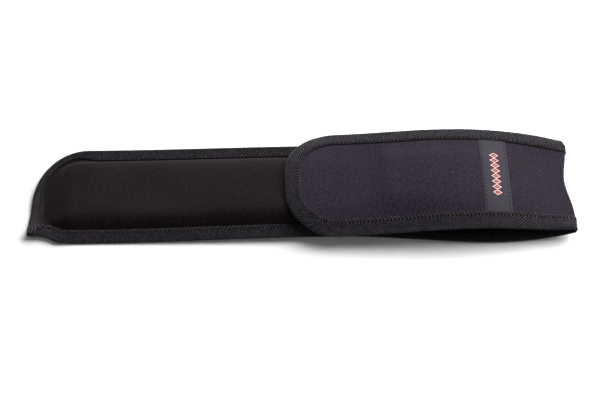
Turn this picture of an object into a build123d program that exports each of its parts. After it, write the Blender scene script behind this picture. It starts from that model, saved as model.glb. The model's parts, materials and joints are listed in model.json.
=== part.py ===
from build123d import *
import math
import os

os.makedirs("parts", exist_ok=True)

# A soft sheath for a slim knife, lying on its back. +X runs to the fold, the tip is at -X.
# +Y is the side with the large round corner at the tip, and Z is 0 where the sheath rests.

# Plan of the pouch
length = 364.0
fold_half_width = 39.3
waist_half_width = 38.4
mouth_half_width = 41.0
waist_from_mouth = 35.0
bulge_from_fold = 54.0
tip_far_radius = 39.0
tip_near_radius = 4.0
handle_length = 118.65

# Plan of the flap
flap_overlap = 71.35
flap_half_width = 42.4
flap_end_radius = 34.5
flap_taper_start = 30.0

# Cloth, board and tape
cover_thick = 0.5
board_thick = 0.6
lining_thick = 0.25
foam_thick = 0.6
liner_thick = 0.7
tape_thick = 0.8
tape_width = 9.5
thread_thick = 0.15
thread_width = 0.8
thread_inset = 1.6

# Raised front panel, as insets from the pouch's edge
wall_gap = 0.8
wall_width = 1.8
shoulder_width = 2.7
brow_width = 7.2
crown_width = 9.0
panel_rise = 7.7
wall_rise_share = 0.45
shoulder_rise_share = 0.72
brow_rise_share = 0.93
liner_edge_inset = 2.9
liner_mouth_gap = 12.0

# How the back lies on the table
back_lift = 3.6
lift_start_from_tip = 38.0
touch_from_fold = 44.6
fold_lift = 5.2
fold_inner_radius = 1.2

# How the flap lies over the pouch
flap_crown = 4.3
handle_crown = 1.5
arch_rise = 6.1
arch_start_from_end = 21.5
arch_peak_from_fold = 68.6
closure_gap = 0.6
crown_place_shares = (0.19, 0.45, 0.74, 0.97)
crown_rise_shares = (1.0, 0.8, 0.38, 0.0)

# Closure patches
patch_end_gap = 4.0
patch_mouth_gap = 4.0
patch_half_width = 19.0
patch_thick = 0.7
patch_seam_inset = 1.5

# Label across the flap
label_from_fold = 40.3
label_width = 18.0
label_thick = 0.35
label_seam_inset = 0.9

# Belt loop on the back
webbing_thick = 1.5
webbing_half_width = 19.0
loop_length = 80.0
loop_past_mouth = 15.0
sewn_length = 14.0
ramp_length = 9.0
box_seam_inset = 2.0

# Turned end of the tape at the tip
tail_length = 8.0

# Reach of the cutting tools past the part
overrun = 8.0
half_depth = 60.0

# Worked out from the sizes above
back_stack = cover_thick + board_thick + lining_thick
flange_stack = back_stack + lining_thick + cover_thick
flange_top = tape_thick + flange_stack
fold_outer_radius = fold_inner_radius + back_stack + tape_thick
tip_x = -length / 2
fold_x = length / 2 - fold_outer_radius
mouth_x = fold_x - handle_length
lift_x = mouth_x - waist_from_mouth
bulge_x = fold_x - bulge_from_fold
touch_x = fold_x - touch_from_fold
flap_end_x = mouth_x - flap_overlap
flap_length = fold_x - flap_end_x
arch_start_x = flap_end_x + arch_start_from_end
arch_peak_x = fold_x - arch_peak_from_fold
axis_z = fold_lift + tape_thick + back_stack + fold_inner_radius

foot_inset = tape_width + wall_gap
wall_inset = foot_inset + wall_width
shoulder_inset = wall_inset + shoulder_width
brow_inset = shoulder_inset + brow_width
crown_inset = brow_inset + crown_width
liner_inset = foot_inset + liner_edge_inset

crown_z = back_lift + flange_top + panel_rise
flap_front_z = crown_z + 2 * patch_thick + closure_gap - flap_crown - tape_thick
flap_peak_z = flap_front_z + arch_rise
flap_fold_z = axis_z + fold_inner_radius - tape_thick


def ease(x, knots):
    """A height or width at x that swings smoothly from knot to knot, level at each of them."""
    if x <= knots[0][0]:
        return knots[0][1]
    for (x0, v0), (x1, v1) in zip(knots, knots[1:]):
        if x <= x1:
            return v0 + (v1 - v0) * (1 - math.cos(math.pi * (x - x0) / (x1 - x0))) / 2
    return knots[-1][1]


def seam_z(x):
    """Underside of the pouch's edge tape."""
    start_x = tip_x + lift_start_from_tip
    return ease(x, [(start_x, 0), (lift_x, back_lift), (touch_x, 0), (fold_x, fold_lift)])


def pouch_half(x):
    """Half of the pouch's width."""
    start_x = tip_x + tip_far_radius
    return ease(x, [(start_x, fold_half_width), (lift_x, waist_half_width),
                    (bulge_x, mouth_half_width), (fold_x, fold_half_width)])


def flap_half(x):
    """Half of the flap's width."""
    return ease(x, [(flap_end_x + flap_taper_start, flap_half_width), (fold_x, fold_half_width)])


def flap_z(x):
    """Underside of the flap's edge tape: level at its end, arched over the handle, down to the fold."""
    if x <= arch_peak_x:
        return ease(x, [(arch_start_x, flap_front_z), (arch_peak_x, flap_peak_z)])
    way = (fold_x - x) / (fold_x - arch_peak_x)
    return flap_fold_z + (flap_peak_z - flap_fold_z) * math.sin(math.pi / 2 * way)


def flap_crown_at(x):
    """How far the flap's middle stands above its edges."""
    return ease(x, [(arch_start_x, flap_crown), (arch_peak_x, handle_crown), (fold_x, 0)])


# Stations along the pouch: close together over the rounded end of the panel, then even shares
panel_stations = [tip_x - overrun]
panel_stations += [tip_x + inset for inset in (foot_inset, wall_inset, shoulder_inset, brow_inset, crown_inset)]
body_start_x = tip_x + max(tip_far_radius, crown_inset + overrun)
body_shares = (0, 0.22, 0.42, 0.6, 0.78, 1)
panel_stations += [body_start_x + (mouth_x - body_start_x) * share for share in body_shares]
tail_shares = (0.07, 0.27, 0.5, 0.67, 0.78, 0.9, 1)
tail_stations = [mouth_x + (fold_x - mouth_x) * share for share in tail_shares]
pouch_stations = panel_stations + tail_stations

flap_shares = (0.11, 0.22, 0.34, 0.48, 0.62, 0.75, 0.86, 0.94, 1)
flap_stations = [flap_end_x - overrun]
flap_stations += [flap_end_x + flap_length * share for share in flap_shares]


def sheet(stations, bottom, top):
    """A layer between two lines, each a function of x that gives (y, z) points, carried over the stations."""
    sections = []
    for x in stations:
        loop = bottom(x) + top(x)[::-1]
        sections.append(Wire.make_polygon([Vector(x, y, z) for y, z in loop]))
    return Solid.make_loft(sections, ruled=True)


def carved(stations, bottom, top):
    """A layer between two lines that meet or cross in places: only where the top one is the higher."""
    deep = flat_line(-half_depth)
    return (Part() + sheet(stations, deep, top)) - sheet(stations, deep, bottom)


def flat_line(height):
    """A level line across the pouch at a height above its seam."""
    return lambda x: [(-half_depth, seam_z(x) + height), (half_depth, seam_z(x) + height)]


def stack_line(above):
    """The top of the edge's cloth, lower past the mouth, where only the back panel is left."""
    def line(x):
        stack = flange_stack if x < mouth_x + tape_thick else back_stack
        height = seam_z(x) + tape_thick + stack + above
        return [(-half_depth, height), (half_depth, height)]
    return line


def rise_at(inset):
    """Share of the panel's rise at an inset from the pouch's edge."""
    places = (foot_inset, wall_inset, shoulder_inset, brow_inset, crown_inset)
    shares = (0, wall_rise_share, shoulder_rise_share, brow_rise_share, 1)
    if inset <= places[0]:
        return 0
    for k in range(1, len(places)):
        if inset <= places[k]:
            way = (inset - places[k - 1]) / (places[k] - places[k - 1])
            return shares[k - 1] + (shares[k] - shares[k - 1]) * way
    return 1


def inset_at(x, y):
    """Distance from a point to the pouch's edge."""
    half = pouch_half(x)
    centre_x = tip_x + tip_far_radius
    centre_y = fold_half_width - tip_far_radius
    if x < centre_x and y > centre_y:
        return tip_far_radius - math.hypot(x - centre_x, y - centre_y)
    return min(y + half, half - y, x - tip_x)


def far_y(x, inset, limit_y):
    """Where the contour at an inset crosses a station on the far side, round the large corner."""
    centre_x = tip_x + tip_far_radius
    centre_y = fold_half_width - tip_far_radius
    if x >= centre_x:
        return pouch_half(x) - inset
    reach = x - tip_x
    if reach <= inset:
        return centre_y - (centre_y - limit_y) * (inset - reach) / (crown_inset + 2 * overrun)
    radius = tip_far_radius - inset
    return centre_y + math.sqrt(max(radius ** 2 - (x - centre_x) ** 2, 0))


def panel_line(depth, floor, inward):
    """A line across the front panel, set in and down from its outer face, never under its floor."""
    climb = max(depth - floor, 0) / (wall_rise_share * panel_rise) * wall_width
    foot = foot_inset + inward + climb
    insets = [foot, wall_inset + inward, shoulder_inset + inward, brow_inset + inward, crown_inset + inward]
    if insets[1] - foot < wall_width / 10:
        insets[1] = foot + (insets[2] - foot) / 4

    def line(x):
        base = seam_z(x) + flange_top
        ys = [-pouch_half(x) + inset for inset in insets]
        limit_y = ys[-1]
        ys += [far_y(x, inset, limit_y) for inset in insets[::-1]]
        points = [(-half_depth, base - floor)]
        for y in ys:
            rise = panel_rise * rise_at(inset_at(x, y) - inward)
            points.append((y, max(base - floor, base + rise - depth)))
        return points + [(half_depth, base - floor)]
    return line


def flap_line(above):
    """A line across the flap at a height above the underside of its tape."""
    def line(x):
        base = flap_z(x) + above
        places = [flap_half_width * share for share in crown_place_shares]
        rises = [flap_crown_at(x) * share for share in crown_rise_shares]
        points = [(-half_depth, base)]
        points += [(-place, base + rise) for place, rise in zip(places[::-1], rises[::-1])]
        points += [(place, base + rise) for place, rise in zip(places, rises)]
        return points + [(half_depth, base)]
    return line


def prism(outline):
    """The outline as a tall block through the whole part."""
    return extrude(make_face(outline), half_depth, both=True)


def edge_curve(half_width, x0, x1, side, inset):
    """The long edge between two stations, set in by an inset."""
    steps = 9
    xs = [x0 + (x1 - x0) * k / steps for k in range(steps + 1)]
    points = [(x, side * (half_width(x) - inset)) for x in xs]
    return Spline(*points, tangents=[(1, 0), (1, 0)])


def pouch_plan(inset):
    """Everything inside the pouch's edge by an inset: a square near corner and a large round far one."""
    far_radius = tip_far_radius - inset
    near_radius = max(tip_near_radius - inset, 0)
    end_x = tip_x + inset
    centre_y = fold_half_width - tip_far_radius
    near_y = inset - fold_half_width
    start_x = tip_x + tip_far_radius
    near = edge_curve(pouch_half, start_x, fold_x, -1, inset)
    far = edge_curve(pouch_half, start_x, fold_x, 1, inset)
    cap = Polyline(near @ 1, (fold_x + overrun, near_y), (fold_x + overrun, -near_y), far @ 1)
    corner = RadiusArc((end_x, centre_y), (start_x, centre_y + far_radius), far_radius)
    side = Line((end_x, near_y + near_radius), (end_x, centre_y))
    run = Line((end_x + near_radius, near_y), near @ 0)
    lines = [near, cap, far, corner, side, run]
    if near_radius > 0:
        lines.append(RadiusArc((end_x + near_radius, near_y), (end_x, near_y + near_radius), near_radius))
    return prism(Curve() + lines)


def flap_plan(inset):
    """Everything inside the flap's edge by an inset, with its two rounded corners."""
    radius = flap_end_radius - inset
    end_x = flap_end_x + inset
    start_x = flap_end_x + flap_end_radius
    centre_y = flap_half(start_x) - flap_end_radius
    near = edge_curve(flap_half, start_x, fold_x, -1, inset)
    far = edge_curve(flap_half, start_x, fold_x, 1, inset)
    out_y = fold_half_width - inset
    cap = Polyline(near @ 1, (fold_x + overrun, -out_y), (fold_x + overrun, out_y), far @ 1)
    top = RadiusArc((end_x, centre_y), (start_x, centre_y + radius), radius)
    low = RadiusArc((start_x, -centre_y - radius), (end_x, -centre_y), radius)
    side = Line((end_x, -centre_y), (end_x, centre_y))
    return prism(Curve() + [near, cap, far, top, low, side])


def area(x0, x1, y0, y1):
    """A tall block over a rectangle of the plan."""
    return extrude(Pos((x0 + x1) / 2, (y0 + y1) / 2) * Rectangle(x1 - x0, y1 - y0), half_depth, both=True)


def block(x0, x1, half_y):
    """A tall block between two stations, as far on both sides of the middle as asked."""
    return area(x0, x1, -half_y, half_y)


def frame_block(x0, x1, half_y, width):
    """A tall rectangular frame, as a sewn box of thread needs."""
    return block(x0, x1, half_y) - block(x0 + width, x1 - width, half_y - width)


def save(name, solid):
    """Writes one piece to its own file."""
    export_step(solid, os.path.join("parts", name + ".step"))


def cross(a, b):
    """The part of a that lies in b, as one shape."""
    return Part() + (Part() + a).intersect(b)


# Plans shared by the pouch's layers
edge_plan = pouch_plan(0)
cloth_plan = pouch_plan(tape_thick)
tape_plan = pouch_plan(tape_width)

# Back panel, from the outer cloth inwards
cover_top = tape_thick + cover_thick
board_top = cover_top + board_thick
lining_top = board_top + lining_thick
save("back_cover", cross(sheet(pouch_stations, flat_line(tape_thick), flat_line(cover_top)), cloth_plan))
save("back_stiffener", cross(sheet(pouch_stations, flat_line(cover_top), flat_line(board_top)), cloth_plan))
save("back_lining", cross(sheet(pouch_stations, flat_line(board_top), flat_line(lining_top)), cloth_plan))

# Front panel: each line is set in and down from the outer face
outer_face = panel_line(0, 0, 0)
cover_face = panel_line(cover_thick, cover_thick, cover_thick)
foam_depth = cover_thick + foam_thick
foam_face = panel_line(foam_depth, cover_thick, foam_depth)
lining_depth = foam_depth + lining_thick
lining_floor = cover_thick + lining_thick
lining_face = panel_line(lining_depth, lining_floor, lining_depth)
save("front_cover", cross(sheet(panel_stations, cover_face, outer_face), cloth_plan))
foam_plan = pouch_plan(foot_inset + cover_thick)
save("front_foam", cross(carved(panel_stations, foam_face, cover_face), foam_plan))
save("front_lining", cross(sheet(panel_stations, lining_face, foam_face), cloth_plan))

# Plastic sleeve for the blade: a flat rear sheet and a raised front one that stands on it
liner_depth = lining_depth + liner_thick
liner_floor = lining_floor - liner_thick
liner_face = panel_line(liner_depth, liner_floor, liner_depth)
liner_plan = pouch_plan(liner_inset)
sleeve_block = block(tip_x, mouth_x - liner_mouth_gap, half_depth)
rear_liner = sheet(panel_stations, flat_line(lining_top), flat_line(lining_top + liner_thick))
save("blade_liner_rear", cross(cross(rear_liner, liner_plan), sleeve_block))
front_liner = carved(panel_stations, liner_face, lining_face)
save("blade_liner_front", cross(cross(front_liner, liner_plan), sleeve_block))

# Binding tape round the pouch's edge, with the thread that holds it
tape_block = cross(sheet(pouch_stations, flat_line(0), stack_line(tape_thick)), edge_plan)
cloth_block = cross(sheet(pouch_stations, flat_line(tape_thick), stack_line(0)), cloth_plan)
save("edge_tape_pouch", tape_block - tape_plan - cloth_block)
thread_outer_inset = tape_width - thread_inset - thread_width
thread_ring = pouch_plan(thread_outer_inset) - pouch_plan(thread_outer_inset + thread_width)
thread_sheet = sheet(pouch_stations, stack_line(tape_thick), stack_line(tape_thick + thread_thick))
save("edge_seam_pouch", cross(thread_sheet, thread_ring))

# The tape's turned end, tacked down at the near corner of the tip
tail_y = tape_thick - fold_half_width
tail_block = area(tip_x, tip_x + tail_length, tail_y, tail_y + tape_width - thread_inset)
tail_sheet = sheet(pouch_stations, stack_line(tape_thick + thread_thick),
                   stack_line(2 * tape_thick + thread_thick))
tail_base = sheet(pouch_stations, stack_line(tape_thick), stack_line(tape_thick + thread_thick))
tail_shape = cross(cross(tail_sheet, tail_block), cloth_plan)
tail_rest = cross(cross(tail_base, tail_block), cloth_plan) - thread_ring
save("tape_tail", tail_shape + tail_rest)

# Binding on the front panel's mouth
mouth_stations = panel_stations[-2:] + [mouth_x + tape_thick]
mouth_inner = panel_line(lining_depth + tape_thick, lining_floor, lining_depth + tape_thick)
mouth_plan = pouch_plan(foot_inset)


def raised(x):
    """The outer line of the mouth tape, a tape's thickness above the panel all over."""
    return [(y, z + tape_thick) for y, z in outer_face(x)]


def raised_thread(x):
    """The top of the thread on the mouth tape."""
    return [(y, z + thread_thick) for y, z in raised(x)]


mouth_block = cross(sheet(mouth_stations, mouth_inner, raised), mouth_plan)
mouth_strip = cross(mouth_block, block(mouth_x - tape_width, mouth_x + tape_thick, half_depth))
panel_block = sheet(panel_stations[-2:], lining_face, outer_face)
save("mouth_tape", mouth_strip - panel_block)
mouth_thread_x = mouth_x - thread_outer_inset
mouth_thread = cross(sheet(mouth_stations, raised, raised_thread), mouth_plan)
save("mouth_seam", cross(mouth_thread, block(mouth_thread_x - thread_width, mouth_thread_x, half_depth)))

# Soft half of the closure, on the front panel near its mouth
patch_x0 = flap_end_x + tape_width + patch_end_gap
patch_x1 = mouth_x - tape_width - patch_mouth_gap
patch_block = block(patch_x0, patch_x1, patch_half_width)
patch_frame = frame_block(patch_x0 + patch_seam_inset, patch_x1 - patch_seam_inset,
                          patch_half_width - patch_seam_inset, thread_width)


def loop_top(x):
    """The top of the loop patch."""
    return [(y, z + patch_thick) for y, z in outer_face(x)]


def loop_thread_top(x):
    """The top of the loop patch's thread."""
    return [(y, z + thread_thick) for y, z in loop_top(x)]


save("loop_patch", cross(sheet(panel_stations, outer_face, loop_top), patch_block))
save("loop_patch_seam", cross(sheet(panel_stations, loop_top, loop_thread_top), patch_frame))

# Belt loop on the back: sewn at both ends, hanging free between them
loop_x1 = mouth_x + loop_past_mouth
loop_x0 = loop_x1 - loop_length


def strap_profile(top_drop, bottom_drop):
    """The strap's side view between two depths under its upper face, cut to length."""
    ends = []
    for x, sign in ((loop_x0, 1), (loop_x1, -1)):
        inner_x = x + sign * sewn_length
        ramp_x = inner_x + sign * ramp_length
        outer_z = seam_z(x) + tape_thick
        inner_z = seam_z(inner_x) + tape_thick
        ends.append([(x, outer_z), (inner_x, inner_z), (ramp_x, webbing_thick)])
    ridge = ends[0] + ends[1][::-1]
    upper = [(x, z - top_drop) for x, z in ridge]
    lower = [(x, z - bottom_drop) for x, z in ridge]
    return upper, lower


def strap(upper, lower, half_y):
    """A strap from its side view, as wide as asked."""
    outline = Polyline(*(upper + lower[::-1]), close=True)
    return extrude(Plane.XZ * make_face(outline), half_y, both=True)


under_back = sheet(pouch_stations, flat_line(-half_depth), flat_line(tape_thick))
strap_upper, strap_lower = strap_profile(0, webbing_thick)
lifted = [(x, z + webbing_thick) for x, z in strap_upper]
inner_lifted = [strap_upper[2], strap_upper[3]]
strap_top = lifted[:2] + inner_lifted + lifted[4:]
strap_solid = strap(strap_top, strap_lower, webbing_half_width)
save("belt_loop", cross(strap_solid, under_back))
seam_upper, seam_lower = strap_profile(webbing_thick, webbing_thick + thread_thick)
box_half_y = webbing_half_width - box_seam_inset
seam_frames = frame_block(loop_x0 + box_seam_inset, loop_x0 + sewn_length - box_seam_inset,
                          box_half_y, thread_width)
seam_frames += frame_block(loop_x1 - sewn_length + box_seam_inset, loop_x1 - box_seam_inset,
                           box_half_y, thread_width)
save("belt_loop_seam", cross(strap(seam_upper, seam_lower, webbing_half_width), seam_frames))

# The fold, where the back panel's layers turn over into the flap
fold_length = 2 * (fold_half_width - tape_thick)


def bend(inner, outer, across):
    """Half of a round tube about the fold's axis, on its +X side."""
    ring = Cylinder(outer, across, rotation=(90, 0, 0)) - Cylinder(inner, across, rotation=(90, 0, 0))
    side = Pos(half_depth / 2, 0, 0) * Box(half_depth, 2 * half_depth, 2 * half_depth)
    return Pos(fold_x, 0, axis_z) * cross(ring, side)


lining_radius = fold_inner_radius + lining_thick
board_radius = lining_radius + board_thick
cover_radius = board_radius + cover_thick
save("fold_lining", bend(fold_inner_radius, lining_radius, fold_length))
save("fold_stiffener", bend(lining_radius, board_radius, fold_length))
save("fold_cover", bend(board_radius, cover_radius, fold_length))
fold_tape = bend(fold_inner_radius - tape_thick, fold_outer_radius, 2 * fold_half_width)
fold_tape = fold_tape - bend(fold_inner_radius, cover_radius, fold_length)
save("fold_tape", fold_tape - block(fold_x - overrun, fold_x + overrun, fold_half_width - tape_width))

# Flap layers, from the lining outwards
flap_cloth_plan = flap_plan(tape_thick)
flap_lining_top = tape_thick + lining_thick
flap_board_top = flap_lining_top + board_thick
flap_cover_top = flap_board_top + cover_thick
flap_tape_top = flap_cover_top + tape_thick


def flap_sheet(low, high):
    """A layer of the flap between two heights above its tape's underside."""
    return sheet(flap_stations, flap_line(low), flap_line(high))


save("flap_lining", cross(flap_sheet(tape_thick, flap_lining_top), flap_cloth_plan))
save("flap_stiffener", cross(flap_sheet(flap_lining_top, flap_board_top), flap_cloth_plan))
save("flap_cover", cross(flap_sheet(flap_board_top, flap_cover_top), flap_cloth_plan))

# Binding tape round the flap's edge, with its thread
flap_tape_block = cross(flap_sheet(0, flap_tape_top), flap_plan(0))
flap_cloth_block = cross(flap_sheet(tape_thick, flap_cover_top), flap_cloth_plan)
save("edge_tape_flap", flap_tape_block - flap_plan(tape_width) - flap_cloth_block)
flap_ring = flap_plan(thread_outer_inset) - flap_plan(thread_outer_inset + thread_width)
save("edge_seam_flap", cross(flap_sheet(flap_tape_top, flap_tape_top + thread_thick), flap_ring))

# Hook half of the closure, under the flap, over the loop patch
save("hook_patch", cross(flap_sheet(tape_thick - patch_thick, tape_thick), patch_block))
hook_thread_low = tape_thick - patch_thick - thread_thick
save("hook_patch_seam", cross(flap_sheet(hook_thread_low, tape_thick - patch_thick), patch_frame))

# Satin label across the flap, from tape to tape, with a row of thread down each side
label_x1 = fold_x - label_from_fold
label_x0 = label_x1 - label_width
label_plan = flap_plan(tape_width)
label_top = flap_cover_top + label_thick
label_sheet = cross(flap_sheet(flap_cover_top, label_top), label_plan)
save("label", cross(label_sheet, block(label_x0, label_x1, half_depth)))
label_rows = block(label_x0 + label_seam_inset, label_x0 + label_seam_inset + thread_width, half_depth)
label_rows += block(label_x1 - label_seam_inset - thread_width, label_x1 - label_seam_inset, half_depth)
label_thread = cross(flap_sheet(label_top, label_top + thread_thick), label_plan)
save("label_seam", cross(label_thread, label_rows))
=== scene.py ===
import bmesh
import bpy
import json
import math
import numpy as np
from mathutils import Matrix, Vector


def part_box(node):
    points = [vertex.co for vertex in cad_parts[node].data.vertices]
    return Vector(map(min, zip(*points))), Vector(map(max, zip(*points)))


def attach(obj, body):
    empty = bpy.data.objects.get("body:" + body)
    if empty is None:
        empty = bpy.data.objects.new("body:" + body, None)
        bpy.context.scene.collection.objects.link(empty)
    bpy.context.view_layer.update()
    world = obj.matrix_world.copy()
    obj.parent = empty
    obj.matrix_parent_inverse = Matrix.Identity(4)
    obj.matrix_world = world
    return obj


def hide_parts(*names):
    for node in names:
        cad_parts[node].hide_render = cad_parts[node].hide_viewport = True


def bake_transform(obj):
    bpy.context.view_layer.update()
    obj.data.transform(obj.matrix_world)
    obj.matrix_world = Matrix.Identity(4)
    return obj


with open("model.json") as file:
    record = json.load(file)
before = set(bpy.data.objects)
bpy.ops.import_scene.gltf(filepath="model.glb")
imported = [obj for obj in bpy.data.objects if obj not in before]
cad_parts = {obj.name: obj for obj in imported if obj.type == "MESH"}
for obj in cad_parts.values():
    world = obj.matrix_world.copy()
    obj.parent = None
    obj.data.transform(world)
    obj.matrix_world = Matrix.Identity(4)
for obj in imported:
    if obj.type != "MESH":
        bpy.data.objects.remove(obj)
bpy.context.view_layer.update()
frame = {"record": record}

bl_info = {
    "name": "Soft Knife Sheath",
    "version": (1, 0, 0),
    "blender": (4, 5, 0),
    "location": "View3D > Sidebar > Sheath",
    "description": "Builds a long soft knife sheath with bound edges and a fold-over flap",
    "category": "Add Mesh",
}

# All lengths below are in millimetres unless a name says otherwise
MM = 0.001

# Read from the frame
hinge_spot = frame["record"]["behaviour"]["joints"][0]["pos_m"]
fold_x = hinge_spot[0] / MM
axis_z = hinge_spot[2] / MM
tip_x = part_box("edge_tape_pouch")[0][0] / MM
mouth_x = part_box("front_cover")[1][0] / MM
flap_end_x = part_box("edge_tape_flap")[0][0] / MM
fold_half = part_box("fold_tape")[1][1] / MM
label_x0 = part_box("label")[0][0] / MM
label_x1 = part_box("label")[1][0] / MM
loop_x0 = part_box("belt_loop")[0][0] / MM
loop_x1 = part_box("belt_loop")[1][0] / MM
patch_x0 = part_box("loop_patch")[0][0] / MM
patch_x1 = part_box("loop_patch")[1][0] / MM
patch_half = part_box("loop_patch")[1][1] / MM

# Plan of the pouch and the flap
waist_half = 38.4
mouth_half = 42.2
far_more = 1.8
waist_x = mouth_x - 35.0
bulge_x = fold_x - 54.0
corner_long = 37.0
corner_wide = 47.0
tip_slant = 0.8
near_radius = 5.0
near_draw = 4.6
flap_half = 43.4
flap_radius = 35.0
flap_taper_x = flap_end_x + 30.0

# Thicknesses
cover_thick = 0.5
board_thick = 0.6
lining_thick = 0.25
foam_thick = 0.6
tape_thick = 0.8
tape_width = 9.5
flap_tape_width = 10.9
flap_stack = 2.95
flap_top = tape_thick + lining_thick + board_thick + cover_thick
seam_in = 1.9
label_thick = 0.28
flange_top = 2.9
panel_rise = 7.9
panel_wall = 6.0
foot_inset = 10.3

liner_thick = 0.6
liner_foot = 2.85
liner_inset = fold_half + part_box("blade_liner_front")[0][1] / MM
liner_end_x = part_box("blade_liner_front")[1][0] / MM

# How the pouch and flap lie
back_lift = 3.6
touch_x = fold_x - 44.6
fold_lift = 5.2
flap_front_z = 11.1
flap_peak_z = 17.2
flap_fold_z = axis_z + 0.4
flap_crown = 4.3
handle_crown = 1.5
arch_start_x = flap_end_x + 21.5
arch_peak_x = fold_x - 68.6


def ease(x, *knots):
    """A value that swings by half a cosine wave from knot to knot and is level at each."""
    x = np.asarray(x, float)
    out = np.full(x.shape, float(knots[0][1]))
    for (x0, v0), (x1, v1) in zip(knots, knots[1:]):
        way = np.clip((x - x0) / (x1 - x0), 0, 1)
        out = out + (v1 - v0) * (1 - np.cos(np.pi * way)) / 2
    return out


def smooth(t):
    """Three t squared less two t cubed, held between 0 and 1."""
    t = np.clip(t, 0, 1)
    return t * t * (3 - 2 * t)


def pouch_width(x):
    """Half of the pouch's width, by eased knots along it."""
    return ease(x, (tip_x + corner_long, fold_half), (waist_x, waist_half), (bulge_x, mouth_half),
                (fold_x, fold_half))


def near_width(x):
    """Distance from the middle to the near edge: the half width, drawn in a little towards the tip."""
    return pouch_width(x) - near_draw * smooth((tip_x + 23 - x) / 14)


def far_width(x):
    """Distance from the middle to the far edge, which bulges a little as far as the mouth."""
    return pouch_width(x) + far_more * smooth((mouth_x + 30 - x) / 50)


def pouch_z(x, y):
    """Underside of the pouch: eased along it, a power up to the fold, and a lift at the tip's near corner."""
    level = ease(x, (tip_x + 38, 0), (waist_x, back_lift), (touch_x, 0))
    level = level + fold_lift * np.clip((x - touch_x) / (fold_x - touch_x), 0, 1) ** 3.5
    away = np.hypot((x - tip_x) / 34, (y + fold_half) / 26)
    return level + 2.6 * smooth(1 - away)


def flap_width(x):
    """Half of the flap's width, without its rounded corners: it narrows to the fold by a power."""
    way = np.clip((x - flap_taper_x) / (fold_x - flap_taper_x), 0, 1)
    return flap_half + (fold_half - flap_half) * way ** 2.5


def flap_z(x, y):
    """Underside of the flap: eased to the arch, a quarter sine to the fold, crowned, its far side up."""
    rise = ease(x, (arch_start_x, flap_front_z), (arch_peak_x, flap_peak_z))
    way = np.clip((fold_x - x) / (fold_x - arch_peak_x), 0, 1)
    fall = flap_fold_z + (flap_peak_z - flap_fold_z) * np.sin(np.pi / 2 * way)
    crown = ease(x, (arch_start_x, flap_crown), (arch_peak_x, handle_crown), (fold_x, 0))
    crown = crown + 1.8 * smooth((x - mouth_x - 4) / 26) * smooth((fold_x - 6 - x) / 50)
    across = np.clip(np.abs(y) / (0.95 * flap_half), 0, 1)
    tilt = 0.9 * np.sign(y) * smooth((np.abs(y) - 20) / 22) - 0.9 * smooth((-y - 30) / 16)
    arch = np.where(x <= arch_peak_x, rise, fall)
    return arch + crown * (1 - across ** 2.3) + tilt * smooth((fold_x - x) / 14)


def flap_inset(x, y):
    """Distance in from the flap's edge: straight to its sides, and from the corners' centres round its end."""
    end = np.maximum(flap_end_x + flap_radius - x, 0)
    side = np.maximum(np.abs(y) - (flap_width(x) - flap_radius), 0)
    return flap_radius - np.hypot(end, side)


def flap_squeeze(x, y, inset):
    """Share of its height that the flap's edge keeps: its near side thins outwards, except at the fold."""
    out = np.clip(1 - inset / flap_tape_width, 0, 1)
    return 1 - 0.5 * out * smooth(-y / 16) * smooth((fold_x - 4 - x) / 20)


def tip_outline(step=0.7):
    """The pouch's edge near its tip: near side, small corner, slanted end, a quarter ellipse, far side."""
    low = -float(near_width(tip_x)) + near_radius
    xs = np.arange(tip_x + 90, tip_x + near_radius, -step)
    near = np.stack([xs, -near_width(xs)], axis=1)
    turn = np.linspace(0, np.pi / 2, int(near_radius * 2 / step))[1:]
    corner = np.stack([tip_x + near_radius * (1 - np.sin(turn)), low - near_radius * np.cos(turn)], axis=1)
    high = fold_half + far_more - corner_wide
    ys = np.arange(low + step, high, step)
    end = np.stack([tip_x + tip_slant * smooth((ys - low) / (high - low)), ys], axis=1)
    turn = np.linspace(0, np.pi / 2, int(corner_wide * 1.5 / step))
    bend = np.stack([tip_x + tip_slant + (corner_long - tip_slant) * (1 - np.cos(turn)),
                     high + corner_wide * np.sin(turn)], axis=1)
    xs = np.arange(tip_x + corner_long + step, tip_x + 90, step)
    far = np.stack([xs, far_width(xs)], axis=1)
    return np.concatenate([near, corner, end, bend, far])


TIP_EDGE = tip_outline()


def inset_at(x, y):
    """Distance in from the pouch's edge: to the near or far side, or near the tip to the nearest edge point."""
    x, y = np.broadcast_arrays(np.asarray(x, float), np.asarray(y, float))
    inset = np.minimum(y + near_width(x), far_width(x) - y)
    tip = x < tip_x + 60
    if tip.any():
        px, py = x[tip], y[tip]
        away = np.hypot(px[:, None] - TIP_EDGE[None, :, 0], py[:, None] - TIP_EDGE[None, :, 1])
        least = away.min(axis=1)
        soft = 2.6
        total = np.exp(-(away - least[:, None]) / soft).sum(axis=1) * 0.7
        plain = np.sqrt(2 * np.pi * soft * np.maximum(least, 0.5))
        inset[tip] = least - soft * np.log(np.maximum(total / plain, 1.0))
    return inset


def mouth_drop(x):
    """How far the pouch tape's upper leg comes down past the mouth, where only the back panel is left."""
    return 0.75 * smooth((x - mouth_x) / 8)


def tape_creep(x, y):
    """How much narrower the tape's upper leg is round the far corner, where it is folded further under."""
    return 4.4 * smooth((y + 22) / 40) * smooth((tip_x + 46 - x) / 30)


def edge_squeeze(x, y, inset):
    """Share of its height that the pouch's edge keeps: the near side thins outwards, the far side swells."""
    out = np.clip(1 - inset / tape_width, 0, 1)
    lower = 1.6 * out * smooth(-y / 16) - 0.75 * np.sin(np.pi / 2 * out) * smooth(y / 16)
    return 1 - lower * smooth((mouth_x + 30 - x) / 30) / (flange_top + tape_thick)


def panel_rise_at(y, inset):
    """Rise of the front panel: a hyperbolic tangent from its foot inwards, steeper on the near side."""
    wall = panel_wall * (1 - 0.27 * smooth(-y / 16))
    return panel_rise * np.tanh(np.maximum(inset - foot_inset, 0) / wall)


SETTLED = {}


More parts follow.
